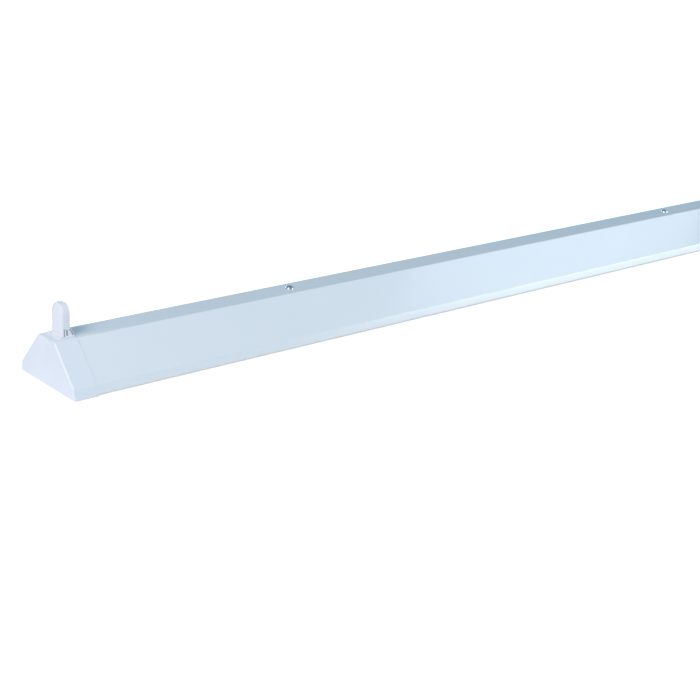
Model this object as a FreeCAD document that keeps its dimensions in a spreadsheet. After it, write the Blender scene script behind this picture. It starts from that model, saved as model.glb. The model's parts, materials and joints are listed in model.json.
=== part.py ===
import FreeCAD, Part
import math
import os
import re
import Sketcher

# Tube light fixture: a bare single-tube batten, mounting face at z = 0, length along X.
# The tube and its two lampholders stand on the narrow top, so +Z points into the room.

# Driving sizes in millimetres
SIZES = {
    # Whole fixture
    "tube_length": 1199.4,
    "tube_play": 0.8,
    "holder_setback": 12.6,
    "base_width": 104.0,
    "top_width": 31.0,
    "body_height": 48.0,
    "lip_height": 10.8,
    "lip_lean": 2.3,
    "bend_radius": 1.2,
    "rest_gap": 0.3,
    "run_gap": 0.05,
    "overrun": 2.0,
    # Cover spine
    "cover_gauge": 0.8,
    "cover_lift": 0.4,
    "return_width": 6.0,
    "seam_gap": 0.2,
    "screw_spacing": 656.0,
    "cover_hole_play": 0.5,
    # Gear tray
    "tray_inset": 6.5,
    "tray_gauge": 1.0,
    "tray_flange": 8.0,
    "fixing_spacing": 800.0,
    "slot_length": 14.0,
    "slot_width": 6.5,
    "entry_place": -100.0,
    "entry_radius": 10.5,
    # Cover posts and their nuts
    "post_span": 28.0,
    "post_gauge": 1.5,
    "post_length": 24.0,
    "post_foot": 10.0,
    "nut_collar_radius": 3.6,
    "nut_head_radius": 5.2,
    "nut_head_height": 3.2,
    # Cover screws and their retaining washers
    "screw_radius": 2.45,
    "screw_head_radius": 4.5,
    "screw_head_height": 2.8,
    "screw_slot_width": 1.2,
    "screw_slot_depth": 1.2,
    "screw_travel": 4.0,
    "screw_tip": 0.5,
    "retainer_radius": 4.4,
    "retainer_thick": 1.0,
    # Cable grommet
    "grommet_bore": 5.0,
    "grommet_lip": 2.2,
    "grommet_lip_thick": 2.0,
    "grommet_crown": 3.0,
    "grommet_crown_radius": 7.6,
    # Mains terminal block
    "block_place": -52.0,
    "block_depth": 22.0,
    "block_base": 3.0,
    "block_wall": 2.0,
    "block_height": 12.5,
    "pole_pitch": 11.0,
    "block_ear": 7.6,
    "cage_width": 6.2,
    "cage_length": 17.0,
    "cage_bore": 2.0,
    "clamp_spacing": 9.0,
    "clamp_screw_radius": 1.8,
    "clamp_screw_length": 7.0,
    "clamp_slot_width": 0.7,
    "tower_width": 6.0,
    "tower_height": 3.0,
    # Small fixing screws
    "fixing_screw_radius": 1.9,
    "fixing_head_radius": 3.6,
    "fixing_head_height": 2.2,
    "fixing_slot_width": 0.9,
    "fixing_slot_depth": 0.9,
    # Earth tag
    "earth_place": 25.0,
    "earth_inset": 14.5,
    "tag_radius": 4.2,
    "tag_thick": 0.8,
    "tag_neck": 5.0,
    "barrel_radius": 1.9,
    "barrel_length": 6.0,
    # Ballast
    "ballast_place": 175.0,
    "ballast_length": 230.0,
    "ballast_width": 40.0,
    "ballast_height": 28.0,
    "ballast_gauge": 0.8,
    "ear_length": 11.0,
    "standoff_height": 3.0,
    "standoff_width": 5.0,
    "standoff_length": 20.0,
    "standoff_inset": 22.0,
    "board_thick": 1.6,
    "board_side_gap": 1.2,
    "lid_gap": 0.2,
    "choke_length": 30.0,
    "choke_width": 24.0,
    "choke_height": 16.0,
    "choke_place": 40.0,
    "coil_length": 16.0,
    "coil_height": 8.0,
    "coil_overhang": 2.5,
    "coil_corner": 1.2,
    "capacitor_radius": 6.5,
    "capacitor_height": 18.0,
    "capacitor_pitch": 17.0,
    "capacitor_place": -52.0,
    "capacitor_edge": 0.6,
    "terminal_depth": 15.0,
    "terminal_width": 22.0,
    "terminal_height": 11.0,
    "terminal_reach": 3.0,
    "terminal_hole_radius": 1.3,
    "terminal_hole_depth": 7.0,
    "input_pitch": 8.0,
    "output_pitch": 4.5,
    # Leads, and the points their routes turn at
    "lead_radius": 1.1,
    "lead_pitch": 3.2,
    "gutter_inset": 12.5,
    "supply_straight": 12.0,
    "supply_middle": 40.0,
    "supply_sag": 2.0,
    "entry_straight": 14.0,
    "earth_straight": 9.0,
    "earth_middle": 20.0,
    "barrel_straight": 10.0,
    "exit_straight": 4.0,
    "turn_reach": 15.0,
    "turn_step": 3.5,
    "turn_start": 6.0,
    "turn_end": 7.0,
    "turn_rise": 3.0,
    "post_straight": 10.0,
    "post_dip": 5.0,
    "post_passed": 26.0,
    "climb_start": 62.0,
    "climb_middle": 30.0,
    "climb_end": 4.0,
    "climb_low": 3.0,
    "climb_high": 9.0,
    "plug_straight": 12.0,
    # Lead clips
    "clip_length": 7.0,
    "clip_width": 13.0,
    "clip_floor": 1.0,
    "clip_roof": 1.2,
    "clip_bevel": 1.5,
    "first_clip": -480.0,
    "clip_spacing": 240.0,
    "right_clip": 460.0,
    # End caps
    "cap_depth": 25.2,
    "cap_wall": 2.0,
    "cap_end": 2.4,
    "cap_edge": 1.6,
    "tongue_length": 5.5,
    "tongue_wall": 1.6,
    "lug_reach": 14.0,
    "lug_inset": 3.5,
    "lug_width": 17.0,
    "lug_thick": 3.0,
    "rib_thick": 1.6,
    "rib_reach": 12.0,
    # Lampholders
    "holder_thick": 7.8,
    "holder_width": 21.0,
    "holder_height": 33.4,
    "holder_bevel": 1.5,
    "holder_bevel_depth": 0.8,
    "flange_front": 4.0,
    "flange_back": 12.2,
    "flange_width": 24.6,
    "flange_thick": 1.5,
    "flange_corner": 1.5,
    "flare_height": 9.5,
    "flare_reach": 12.0,
    "flare_recess": 4.4,
    "rib_gap": 1.1,
    "rib_wall": 1.0,
    "oval_width": 1.7,
    "oval_wall": 1.5,
    "slit_cover": 1.6,
    "plug_width": 17.0,
    "plug_length": 8.8,
    "plug_start": 0.3,
    "plug_depth": 9.0,
    "plug_play": 0.3,
    "hook_reach": 1.2,
    "hook_tip": 0.3,
    "hook_height": 3.6,
    "hook_length": 4.0,
    "plate_thick": 0.9,
    "plate_border": 1.8,
    "plate_foot": 3.2,
    "plate_gap": 0.1,
    "panel_width": 8.6,
    "panel_rise": 0.25,
    "chamber_depth": 5.0,
    "chamber_radius": 8.4,
    "chamber_foot": 12.0,
    "channel_width": 10.0,
    "pin_slot": 3.2,
    "pin_slot_mouth": 5.6,
    "pin_slot_flare": 4.0,
    # Rotors
    "rotor_radius": 7.75,
    "rotor_gap": 0.08,
    "rotor_flange_radius": 8.1,
    "rotor_flange_thick": 1.2,
    "rotor_hub_radius": 4.2,
    "rotor_groove_radius": 5.4,
    "rotor_groove_width": 0.8,
    "rotor_groove_depth": 0.6,
    # Contacts
    "contact_gauge": 0.4,
    "contact_width": 1.8,
    "contact_side": 7.5,
    "contact_tail_side": 4.0,
    "contact_rise": 2.4,
    "contact_knee": 2.0,
    "contact_nose": 0.6,
}

# Sizes that follow from the driving ones
DERIVED = {
    "half_length": "tube_length / 2 + tube_play + holder_thick + holder_setback",
    "side_rise": "body_height - lip_height",
    "side_run": "base_width / 2 - lip_lean - top_width / 2",
    "side_length": "sqrt(side_rise ^ 2 + side_run ^ 2)",
    "lip_length": "sqrt(lip_height ^ 2 + lip_lean ^ 2)",
    "cover_end": "half_length - cap_depth - seam_gap",
    "tray_end": "half_length - cap_end - rest_gap",
    "tray_width": "base_width - 2 * tray_inset",
    "gutter_side": "tray_width / 2 - gutter_inset",
    "earth_side": "tray_width / 2 - earth_inset",
    "under_cover": "body_height - cover_gauge",
    "retainer_top": "under_cover - screw_travel",
    "post_top": "retainer_top - retainer_thick - rest_gap",
    "post_under": "post_top - post_gauge",
    "shank_length": "body_height - post_top + screw_travel - rest_gap",
    "clip_core": "clip_floor + lead_radius",
    "clip_height": "clip_core + lead_radius + clip_roof",
    "gutter_level": "tray_gauge + clip_core",
    "cage_level": "tray_gauge + block_base + cage_width / 2",
    "block_side": "pole_pitch + (pole_pitch + block_wall) / 2",
    "block_screw_side": "block_side + block_ear / 2",
    "board_level": "tray_gauge + ballast_gauge + standoff_height",
    "terminal_level": "board_level + board_thick + terminal_height / 2",
    "ballast_half": "ballast_length / 2",
    "ballast_screw_reach": "ballast_half + lid_gap + ballast_gauge + ear_length / 2",
    "rotor_level": "holder_height - holder_width / 2",
    "rotor_back": "plate_thick + rest_gap",
    "rotor_flange_front": "chamber_depth - rest_gap",
    "plug_end": "plug_start + plug_length",
    "channel_middle": "(plate_thick + chamber_depth) / 2",
    "lug_outer": "tray_width / 2 - lug_inset",
    "lug_inner": "lug_outer - lug_width",
    "lug_side": "lug_outer - lug_width / 2",
    "lug_hole_reach": "cap_end + lug_reach / 2",
    "tongue_foot": "cover_lift + cover_gauge + bend_radius + rest_gap",
}

PLANES = {"X": ("YZ_Plane", 1), "Y": ("XZ_Plane", -1), "Z": ("XY_Plane", 1)}
TURN = FreeCAD.Rotation(FreeCAD.Vector(0, 0, 1), 180)
TOUCH = 1e-4
BEND_SHARE = 0.45
LEAD_SIDES = 6
VOLUME_SHARE = 0.01
POLES = ("-1", "0", "1")
BOTH = ("-1", "1")
# A domed head's shares of its radius and of its height, from rim to crown
DOME_SHARES = ((1, 0.3), (0.87, 0.66), (0.58, 0.91), (0.28, 1), (0, 1))

doc = FreeCAD.newDocument("TubeLightFixture")
sheet = doc.addObject("Spreadsheet::Sheet", "Sizes")
for row, (name, size) in enumerate(SIZES.items(), start=1):
    sheet.set(f"A{row}", name)
    sheet.set(f"B{row}", str(size))
    sheet.setAlias(f"B{row}", name)
doc.recompute()

nodes = []


# Expressions in the sheet's names

def bound(text):
    """The expression with its names tied to the sheet."""
    def tie(match):
        word = match.group()
        if word in DERIVED:
            return "(" + bound(DERIVED[word]) + ")"
        return "Sizes." + word if word in SIZES else word
    return re.sub(r"[a-z]\w*", tie, text)


def number(text):
    """The present value of an expression."""
    return float(sheet.evalExpression(bound(text)))


def minus(text):
    return f"-({text})"


# Sketches

def sketch(body, facing, level="0"):
    """An empty sketch that faces along an axis, at a level on it."""
    role, sense = PLANES[facing]
    plane = [item for item in body.Origin.OriginFeatures if item.Role == role][0]
    made = body.newObject("Sketcher::SketchObject", "Sketch")
    made.AttachmentSupport = [(plane, "")]
    made.MapMode = "FlatFace"
    made.setExpression("AttachmentOffset.Base.z", bound(level if sense > 0 else minus(level)))
    return made


def pin_point(drawn, item, end, across, up):
    """Tie one point of a sketch to two expressions."""
    for kind, text in (("DistanceX", across), ("DistanceY", up)):
        if text is not None:
            index = drawn.addConstraint(Sketcher.Constraint(kind, -1, 1, item, end, number(text)))
            drawn.setExpression(f"Constraints[{index}]", bound(text))


def close(drawn, first):
    """Join the lines drawn since the first one end to end, and the last to the first."""
    count = drawn.GeometryCount - first
    for index in range(count):
        follower = first + (index + 1) % count
        drawn.addConstraint(Sketcher.Constraint("Coincident", first + index, 2, follower, 1))


def loop(drawn, points):
    """A closed outline through the points, given as pairs of expressions."""
    first = drawn.GeometryCount
    spots = [FreeCAD.Vector(number(across), number(up), 0) for across, up in points]
    for index, spot in enumerate(spots):
        drawn.addGeometry(Part.LineSegment(spot, spots[(index + 1) % len(spots)]))
    close(drawn, first)
    for index, (across, up) in enumerate(points):
        pin_point(drawn, first + index, 1, across, up)
    return drawn


def rectangle(drawn, left, low, right, high):
    return loop(drawn, [(left, low), (right, low), (right, high), (left, high)])


def ring(drawn, across, up, radius):
    """A circle whose centre and radius are expressions."""
    centre = FreeCAD.Vector(number(across), number(up), 0)
    item = drawn.addGeometry(Part.Circle(centre, FreeCAD.Vector(0, 0, 1), number(radius)))
    pin_point(drawn, item, 3, across, up)
    index = drawn.addConstraint(Sketcher.Constraint("Radius", item, number(radius)))
    drawn.setExpression(f"Constraints[{index}]", bound(radius))
    return drawn


def arch(drawn, half, foot, crown, middle="0"):
    """A straight-sided outline with a half-round top."""
    left, right, turn = f"{middle} - ({half})", f"{middle} + {half}", f"{crown} - ({half})"
    a, b = number(left), number(right)
    low, high = number(foot), number(turn)
    first = drawn.GeometryCount
    top = Part.Circle(FreeCAD.Vector(number(middle), high, 0), FreeCAD.Vector(0, 0, 1), number(half))
    drawn.addGeometry(Part.LineSegment(FreeCAD.Vector(a, low, 0), FreeCAD.Vector(b, low, 0)))
    drawn.addGeometry(Part.LineSegment(FreeCAD.Vector(b, low, 0), FreeCAD.Vector(b, high, 0)))
    drawn.addGeometry(Part.ArcOfCircle(top, 0, math.pi))
    drawn.addGeometry(Part.LineSegment(FreeCAD.Vector(a, high, 0), FreeCAD.Vector(a, low, 0)))
    close(drawn, first)
    pin_point(drawn, first, 1, left, foot)
    pin_point(drawn, first, 2, right, foot)
    pin_point(drawn, first + 2, 3, middle, turn)
    pin_point(drawn, first + 2, 1, right, turn)
    pin_point(drawn, first + 2, 2, None, turn)
    return drawn


def oblong(drawn, length, width, across="0", up="0"):
    """A slot outline that runs across, from end to end, with half-round ends."""
    reach = f"({length} - {width}) / 2"
    left, right = f"{across} - {reach}", f"{across} + {reach}"
    low = f"{up} - {width} / 2"
    half = number(f"{width} / 2")
    first = drawn.GeometryCount
    axis = FreeCAD.Vector(0, 0, 1)
    centres = [FreeCAD.Vector(number(end), number(up), 0) for end in (left, right)]
    edge = FreeCAD.Vector(0, half, 0)
    drawn.addGeometry(Part.LineSegment(centres[0] - edge, centres[1] - edge))
    drawn.addGeometry(Part.ArcOfCircle(Part.Circle(centres[1], axis, half), -math.pi / 2, math.pi / 2))
    drawn.addGeometry(Part.LineSegment(centres[1] + edge, centres[0] + edge))
    drawn.addGeometry(Part.ArcOfCircle(Part.Circle(centres[0], axis, half), math.pi / 2, -math.pi / 2))
    close(drawn, first)
    for item, end, place in ((0, 1, left), (0, 2, right)):
        pin_point(drawn, first + item, end, place, low)
    for item, place in ((1, right), (3, left)):
        pin_point(drawn, first + item, 3, place, up)
    pin_point(drawn, first + 2, 1, right, None)
    pin_point(drawn, first + 2, 2, left, None)
    return drawn


# Features

def new_body(label):
    made = doc.addObject("PartDesign::Body", "Body")
    made.Label = label
    return made


def raised(body, kind, profile, length, both):
    """A pad or pocket that grows towards plus along its sketch's axis."""
    made = body.newObject(kind, kind.split("::")[1])
    made.Profile = profile
    made.setExpression("Length", bound(length))
    backward = profile.AttachmentSupport[0][0].Role == PLANES["Y"][0]
    made.Reversed = backward if kind == "PartDesign::Pad" else not backward
    if both:
        made.SideType = "Symmetric"
    doc.recompute()
    return made


def pad(profile, length, both=False):
    body = profile.getParentGeoFeatureGroup()
    return raised(body, "PartDesign::Pad", profile, length, both)


def cut(profile, length, both=False):
    """A pocket, which has to take material away."""
    body = profile.getParentGeoFeatureGroup()
    before = body.Shape.Volume
    made = raised(body, "PartDesign::Pocket", profile, length, both)
    if made.Shape.Volume > before - TOUCH:
        raise RuntimeError(f"{body.Label}: {made.Name} cuts nothing")
    return made


def block(body, low, high):
    """Add a box between two corners."""
    drawn = rectangle(sketch(body, "Z", low[2]), low[0], low[1], high[0], high[1])
    return pad(drawn, f"{high[2]} - ({low[2]})")


def spin(profile, axis):
    """Turn a profile about its sketch's own axis."""
    body = profile.getParentGeoFeatureGroup()
    made = body.newObject("PartDesign::Revolution", "Revolution")
    made.Profile = profile
    made.ReferenceAxis = (profile, [axis])
    made.Angle = 360
    doc.recompute()
    return made


def near(value, text):
    return abs(value - number(text)) < TOUCH


def edges_along(body, axis, spots):
    """Names of the straight edges that run along an axis through the given spots."""
    others = [letter for letter in "XYZ" if letter != axis]
    names = []
    for index, edge in enumerate(body.Shape.Edges, start=1):
        box = edge.BoundBox
        spans = [getattr(box, letter + "Length") for letter in others]
        if max(spans) > TOUCH:
            continue
        place = [getattr(box, letter + "Min") for letter in others]
        if any(near(place[0], a) and near(place[1], b) for a, b in spots):
            names.append(f"Edge{index}")
    return names


def edges_in(body, axis, level, above=None):
    """Names of the edges that lie in a plane across an axis, above a height where one is given."""
    names = []
    for index, edge in enumerate(body.Shape.Edges, start=1):
        box = edge.BoundBox
        if not (near(getattr(box, axis + "Min"), level) and near(getattr(box, axis + "Max"), level)):
            continue
        if above is None or box.ZMax > number(above) + TOUCH:
            names.append(f"Edge{index}")
    return names


def soften(body, names, radius):
    """Round the named edges."""
    if not names:
        raise RuntimeError(f"{body.Label}: no edges to round")
    base = body.Tip
    made = body.newObject("PartDesign::Fillet", "Fillet")
    made.Base = (base, names)
    made.setExpression("Radius", bound(radius))
    doc.recompute()
    return made


def bevel(body, names, size, depth=None):
    """Chamfer the named edges, by two distances where a depth is given."""
    base = body.Tip
    made = body.newObject("PartDesign::Chamfer", "Chamfer")
    made.Base = (base, names)
    made.setExpression("Size", bound(size))
    if depth:
        made.ChamferType = "Two distances"
        made.setExpression("Size2", bound(depth))
    doc.recompute()
    return made


def place(made, x="0", y="0", z="0", turned=False):
    """Stand a piece at a spot, turned half round where it faces the other way."""
    if turned:
        made.Placement = FreeCAD.Placement(FreeCAD.Vector(0, 0, 0), TURN)
    for letter, text in zip("xyz", (x, y, z)):
        made.setExpression(f"Placement.Base.{letter}", bound(text))
    return made


def keep(made):
    """Count a piece as one of the fixture's nodes."""
    nodes.append(made)
    return made


def group(label, members):
    """One node of separate solids that are alike."""
    made = doc.addObject("Part::Compound", "Compound")
    made.Label = label
    made.Links = members
    return keep(made)


def end_place(made, side, x, z="0"):
    """Stand a piece at a distance from the left or right end face."""
    across = f"-half_length + {x}" if side == "left" else f"half_length - ({x})"
    return place(made, across, "0", z, turned=side == "right")


# The section that the cover and the end caps share

def section(inset, foot):
    """Right-hand corners of the trapezoid, moved in by an inset, from the foot up."""
    lip_shift = f"({inset}) * lip_length / lip_height"
    side_shift = f"({inset}) * side_length / side_rise"
    crease = (f"(lip_height + ({lip_shift} - {side_shift})"
              " / (side_run / side_rise - lip_lean / lip_height))")
    top = f"(body_height - ({inset}))"

    def lip(level):
        return f"(base_width / 2 - lip_lean * ({level}) / lip_height - {lip_shift})"

    def flank(level):
        start = "base_width / 2 - lip_lean"
        return f"({start} - ({level} - lip_height) * side_run / side_rise - {side_shift})"

    return [(lip(foot), foot), (lip(crease), crease), (flank(top), top)]


def mirrored(points):
    """The points, then their mirror images in reverse order."""
    return points + [(minus(across), up) for across, up in reversed(points)]


# Cover spine: one folded sheet with inward returns along the foot

def cover_spine():
    body = new_body("cover_spine")
    outer = section("0", "cover_lift")
    inner = section("cover_gauge", "cover_lift + cover_gauge")
    edge = "base_width / 2 - return_width"
    half = [(edge, "cover_lift + cover_gauge")] + inner[:]
    outline = [(edge, "cover_lift")] + outer
    profile = mirrored(outline) + [(minus(a), b) for a, b in half]
    profile += [(a, b) for a, b in reversed(half)]
    pad(loop(sketch(body, "X"), profile), "2 * cover_end", both=True)
    for corners, radius in ((outer, "bend_radius + cover_gauge"), (inner, "bend_radius")):
        spots = corners + [(minus(a), b) for a, b in corners]
        soften(body, edges_along(body, "X", spots), radius)
    # The returns stop short of the caps' tongues, which pass them when the cover lifts
    tongue_side = f"{section('cover_gauge', 'tongue_foot')[0][0]}"
    for start in ("-cover_end - overrun", "cover_end - tongue_length - rest_gap"):
        notches = sketch(body, "X", start)
        for sense in BOTH:
            rectangle(notches, f"{sense} * (base_width / 2 - return_width - overrun)",
                      "cover_lift - overrun", f"{sense} * {tongue_side}",
                      "cover_lift + cover_gauge + bend_radius")
        cut(notches, "tongue_length + rest_gap + overrun")
    holes = sketch(body, "Z", "under_cover - overrun")
    for sense in BOTH:
        ring(holes, f"{sense} * screw_spacing / 2", "0", "screw_radius + cover_hole_play")
    cut(holes, "cover_gauge + 2 * overrun")
    return keep(body)


# Gear tray: a shallow channel with the ceiling slots and the cable entry

def gear_tray():
    body = new_body("gear_tray")
    half = "tray_width / 2"
    inside = f"{half} - tray_gauge"
    walls = [(half, "0"), (half, "tray_flange"), (inside, "tray_flange"), (inside, "tray_gauge")]
    pad(loop(sketch(body, "X"), mirrored(walls)), "2 * tray_end", both=True)
    outer = [(half, "0"), (minus(half), "0")]
    inner = [(inside, "tray_gauge"), (minus(inside), "tray_gauge")]
    soften(body, edges_along(body, "X", outer), "bend_radius + tray_gauge")
    soften(body, edges_along(body, "X", inner), "bend_radius")
    openings = sketch(body, "Z", "-overrun")
    for sense in BOTH:
        oblong(openings, "slot_length", "slot_width", f"{sense} * fixing_spacing / 2")
    ring(openings, "entry_place", "0", "entry_radius")
    screw_hole = "fixing_screw_radius + run_gap"
    for sense in BOTH:
        ring(openings, "block_place", f"{sense} * block_screw_side", screw_hole)
        ring(openings, f"ballast_place + {sense} * ballast_screw_reach", "0", screw_hole)
        for across in BOTH:
            reach = f"{sense} * (half_length - lug_hole_reach)"
            ring(openings, reach, f"{across} * lug_side", screw_hole)
    ring(openings, "earth_place", "earth_side", screw_hole)
    cut(openings, "tray_gauge + 2 * overrun")
    return keep(body)


# Cover posts: bridge brackets that the cover screws pull on

def cover_post(side):
    body = new_body(f"cover_post_{side}")
    leg = "post_span / 2"
    inside = f"{leg} - post_gauge"
    foot = f"{leg} + post_foot"
    level = "tray_gauge"
    outline = [(foot, level), (foot, f"{level} + post_gauge"), (leg, f"{level} + post_gauge"),
               (leg, "post_top")]
    hollow = [(minus(inside), level), (minus(inside), "post_under"), (inside, "post_under"),
              (inside, level)]
    pad(loop(sketch(body, "X"), mirrored(outline) + hollow), "post_length", both=True)
    shoulders = [(leg, "post_top"), (minus(leg), "post_top")]
    armpits = [(inside, "post_under"), (minus(inside), "post_under")]
    soften(body, edges_along(body, "X", shoulders), "bend_radius + post_gauge")
    soften(body, edges_along(body, "X", armpits), "bend_radius")
    cut(ring(sketch(body, "Z", "post_under - overrun"), "0", "0", "nut_collar_radius"),
        "post_gauge + 2 * overrun")
    sense = "-1" if side == "left" else "1"
    return keep(place(body, f"{sense} * screw_spacing / 2"))


def post_nut(sense):
    """Clinch nut: a collar in the post's hole over a wider head."""
    body = new_body(f"post_nut_{sense}")
    bore, collar = "screw_radius + run_gap", "nut_collar_radius - run_gap"
    head = "post_under - nut_head_height"
    outline = [(bore, head), ("nut_head_radius", head), ("nut_head_radius", "post_under"),
               (collar, "post_under"), (collar, "post_top"), (bore, "post_top")]
    spin(loop(sketch(body, "Y"), outline), "V_Axis")
    return place(body, f"{sense} * screw_spacing / 2")


# Cover screws, each held in the cover by a washer under the sheet

def cover_screw(side):
    body = new_body(f"cover_screw_{side}")
    tip = "-shank_length"
    outline = [("0", tip), ("screw_radius - screw_tip", tip), ("screw_radius", f"{tip} + screw_tip"),
               ("screw_radius", "0"), ("screw_head_radius", "0")]
    outline += [(f"screw_head_radius * {out}", f"screw_head_height * {up}") for out, up in DOME_SHARES]
    spin(loop(sketch(body, "Y"), outline), "V_Axis")
    slot = rectangle(sketch(body, "Z", "screw_head_height - screw_slot_depth"),
                     "-screw_head_radius - overrun", "-screw_slot_width / 2",
                     "screw_head_radius + overrun", "screw_slot_width / 2")
    cut(slot, "screw_slot_depth + overrun")
    sense = "-1" if side == "left" else "1"
    return keep(place(body, f"{sense} * screw_spacing / 2", "0", "body_height"))


def screw_retainer(side):
    body = new_body(f"screw_retainer_{side}")
    drawn = sketch(body, "Z", "-retainer_thick")
    ring(drawn, "0", "0", "retainer_radius")
    ring(drawn, "0", "0", "screw_radius + run_gap")
    pad(drawn, "retainer_thick")
    sense = "-1" if side == "left" else "1"
    return keep(place(body, f"{sense} * screw_spacing / 2", "0", "retainer_top"))


# Rubber grommet in the cable entry

def cable_grommet():
    body = new_body("cable_grommet")
    barrel = "entry_radius - run_gap"
    seat = "tray_gauge"
    outline = [("grommet_bore", "run_gap"), (barrel, "run_gap"), (barrel, seat),
               ("entry_radius + grommet_lip", seat),
               ("entry_radius + grommet_lip", f"{seat} + grommet_lip_thick"),
               (barrel, f"{seat} + grommet_lip_thick"),
               ("grommet_crown_radius", f"{seat} + grommet_lip_thick + grommet_crown"),
               ("grommet_bore", f"{seat} + grommet_lip_thick + grommet_crown")]
    spin(loop(sketch(body, "Y"), outline), "V_Axis")
    return keep(place(body, "entry_place"))


# Small cheese-head screw that fixes the gear, stood on its seat

def fixing_screw(label, length):
    body = new_body(label)
    pad(ring(sketch(body, "Z", minus(length)), "0", "0", "fixing_screw_radius"), length)
    pad(ring(sketch(body, "Z"), "0", "0", "fixing_head_radius"), "fixing_head_height")
    slot = rectangle(sketch(body, "Z", "fixing_head_height - fixing_slot_depth"),
                     "-fixing_head_radius - overrun", "-fixing_slot_width / 2",
                     "fixing_head_radius + overrun", "fixing_slot_width / 2")
    cut(slot, "fixing_slot_depth + overrun")
    return body


# Mains terminal block: three poles side by side, with a brass cage and two screws in each

def mains_terminal_block():
    body = new_body("mains_terminal_block")
    half_depth = "block_depth / 2"
    top = "tray_gauge + block_height"
    block(body, (minus(half_depth), minus("block_side"), "tray_gauge"), (half_depth, "block_side", top))
    edges = [(minus(half_depth), top), (half_depth, top)]
    soften(body, edges_along(body, "Y", edges), "block_wall")
    ears = "block_side + block_ear"
    block(body, ("-block_ear / 2", minus(ears), "tray_gauge"),
          ("block_ear / 2", ears, "tray_gauge + block_base"))
    towers = sketch(body, "Z", f"{top} - block_wall")
    for pole in POLES:
        for end in BOTH:
            x, y, reach = f"{end} * clamp_spacing / 2", f"{pole} * pole_pitch", "tower_width / 2"
            rectangle(towers, f"{x} - {reach}", f"{y} - {reach}", f"{x} + {reach}", f"{y} + {reach}")
    pad(towers, "block_wall + tower_height")
    chambers = sketch(body, "X", minus(half_depth) + " - overrun")
    wall = "cage_width / 2 + run_gap"
    for pole in POLES:
        rectangle(chambers, f"{pole} * pole_pitch - ({wall})", f"cage_level - ({wall})",
                  f"{pole} * pole_pitch + {wall}", f"cage_level + {wall}")
    cut(chambers, "block_depth + 2 * overrun")
    wells = sketch(body, "Z", "cage_level")
    for pole in POLES:
        for end in BOTH:
            ring(wells, f"{end} * clamp_spacing / 2", f"{pole} * pole_pitch",
                 "clamp_screw_radius + rest_gap")
    cut(wells, "block_height + tower_height")
    holes = sketch(body, "Z", "tray_gauge - overrun")
    for end in BOTH:
        ring(holes, "0", f"{end} * block_screw_side", "fixing_screw_radius + run_gap")
    cut(holes, "block_base + 2 * overrun")
    return keep(place(body, "block_place"))


def terminal_cage(pole):
    body = new_body(f"terminal_cage_{pole}")
    half = "cage_width / 2"
    bar = sketch(body, "X")
    rectangle(bar, minus(half), f"cage_level - {half}", half, f"cage_level + {half}")
    ring(bar, "0", "cage_level", "cage_bore")
    pad(bar, "cage_length", both=True)
    wells = sketch(body, "Z", "cage_level")
    for end in BOTH:
        ring(wells, f"{end} * clamp_spacing / 2", "0", "clamp_screw_radius + run_gap")
    cut(wells, "cage_width")
    return place(body, "block_place", f"{pole} * pole_pitch")


def terminal_screw(pole, end):
    body = new_body(f"terminal_screw_{pole}_{end}")
    low = "cage_level + lead_radius + rest_gap"
    pad(ring(sketch(body, "Z", low), "0", "0", "clamp_screw_radius"), "clamp_screw_length")
    top = f"{low} + clamp_screw_length"
    slot = rectangle(sketch(body, "Z", f"{top} - clamp_slot_width"),
                     "-clamp_screw_radius - overrun", "-clamp_slot_width / 2",
                     "clamp_screw_radius + overrun", "clamp_slot_width / 2")
    cut(slot, "clamp_slot_width + overrun")
    return place(body, f"block_place + {end} * clamp_spacing / 2", f"{pole} * pole_pitch")


def mains_terminals():
    mains_terminal_block()
    group("terminal_cages", [terminal_cage(pole) for pole in POLES])
    group("terminal_screws", [terminal_screw(pole, end) for pole in POLES for end in BOTH])
    length = "block_base + tray_gauge - run_gap"
    screws = []
    for end in BOTH:
        screw = fixing_screw(f"terminal_block_screw_{end}", length)
        screws.append(place(screw, "block_place", f"{end} * block_screw_side", "tray_gauge + block_base"))
    group("terminal_block_screws", screws)


# Earth point: a ring tag under a screw, with its crimped barrel

def earth_tag():
    body = new_body("earth_tag")
    flat = ring(sketch(body, "Z", "tray_gauge"), "0", "0", "tag_radius")
    pad(flat, "tag_thick")
    start = "-tag_neck - barrel_length"
    neck = rectangle(sketch(body, "Z", "tray_gauge"), "-tag_neck - overrun", "-barrel_radius", "0",
                     "barrel_radius")
    pad(neck, "tag_thick")
    barrel = sketch(body, "X", start)
    ring(barrel, "0", "tray_gauge + barrel_radius", "barrel_radius")
    pad(barrel, "barrel_length")
    cut(ring(sketch(body, "X", f"{start} - overrun"), "0", "tray_gauge + barrel_radius",
             "lead_radius + run_gap"), "barrel_length + overrun")
    cut(ring(sketch(body, "Z", "tray_gauge - overrun"), "0", "0", "fixing_screw_radius + run_gap"),
        "tag_thick + 2 * overrun")
    return keep(place(body, "earth_place", "earth_side"))


def earth_point():
    earth_tag()
    screw = fixing_screw("earth_screw", "tag_thick + tray_gauge - run_gap")
    keep(place(screw, "earth_place", "earth_side", "tray_gauge + tag_thick"))


# Ballast: folded case and lid round a board with a choke, capacitors and push-in terminals

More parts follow.
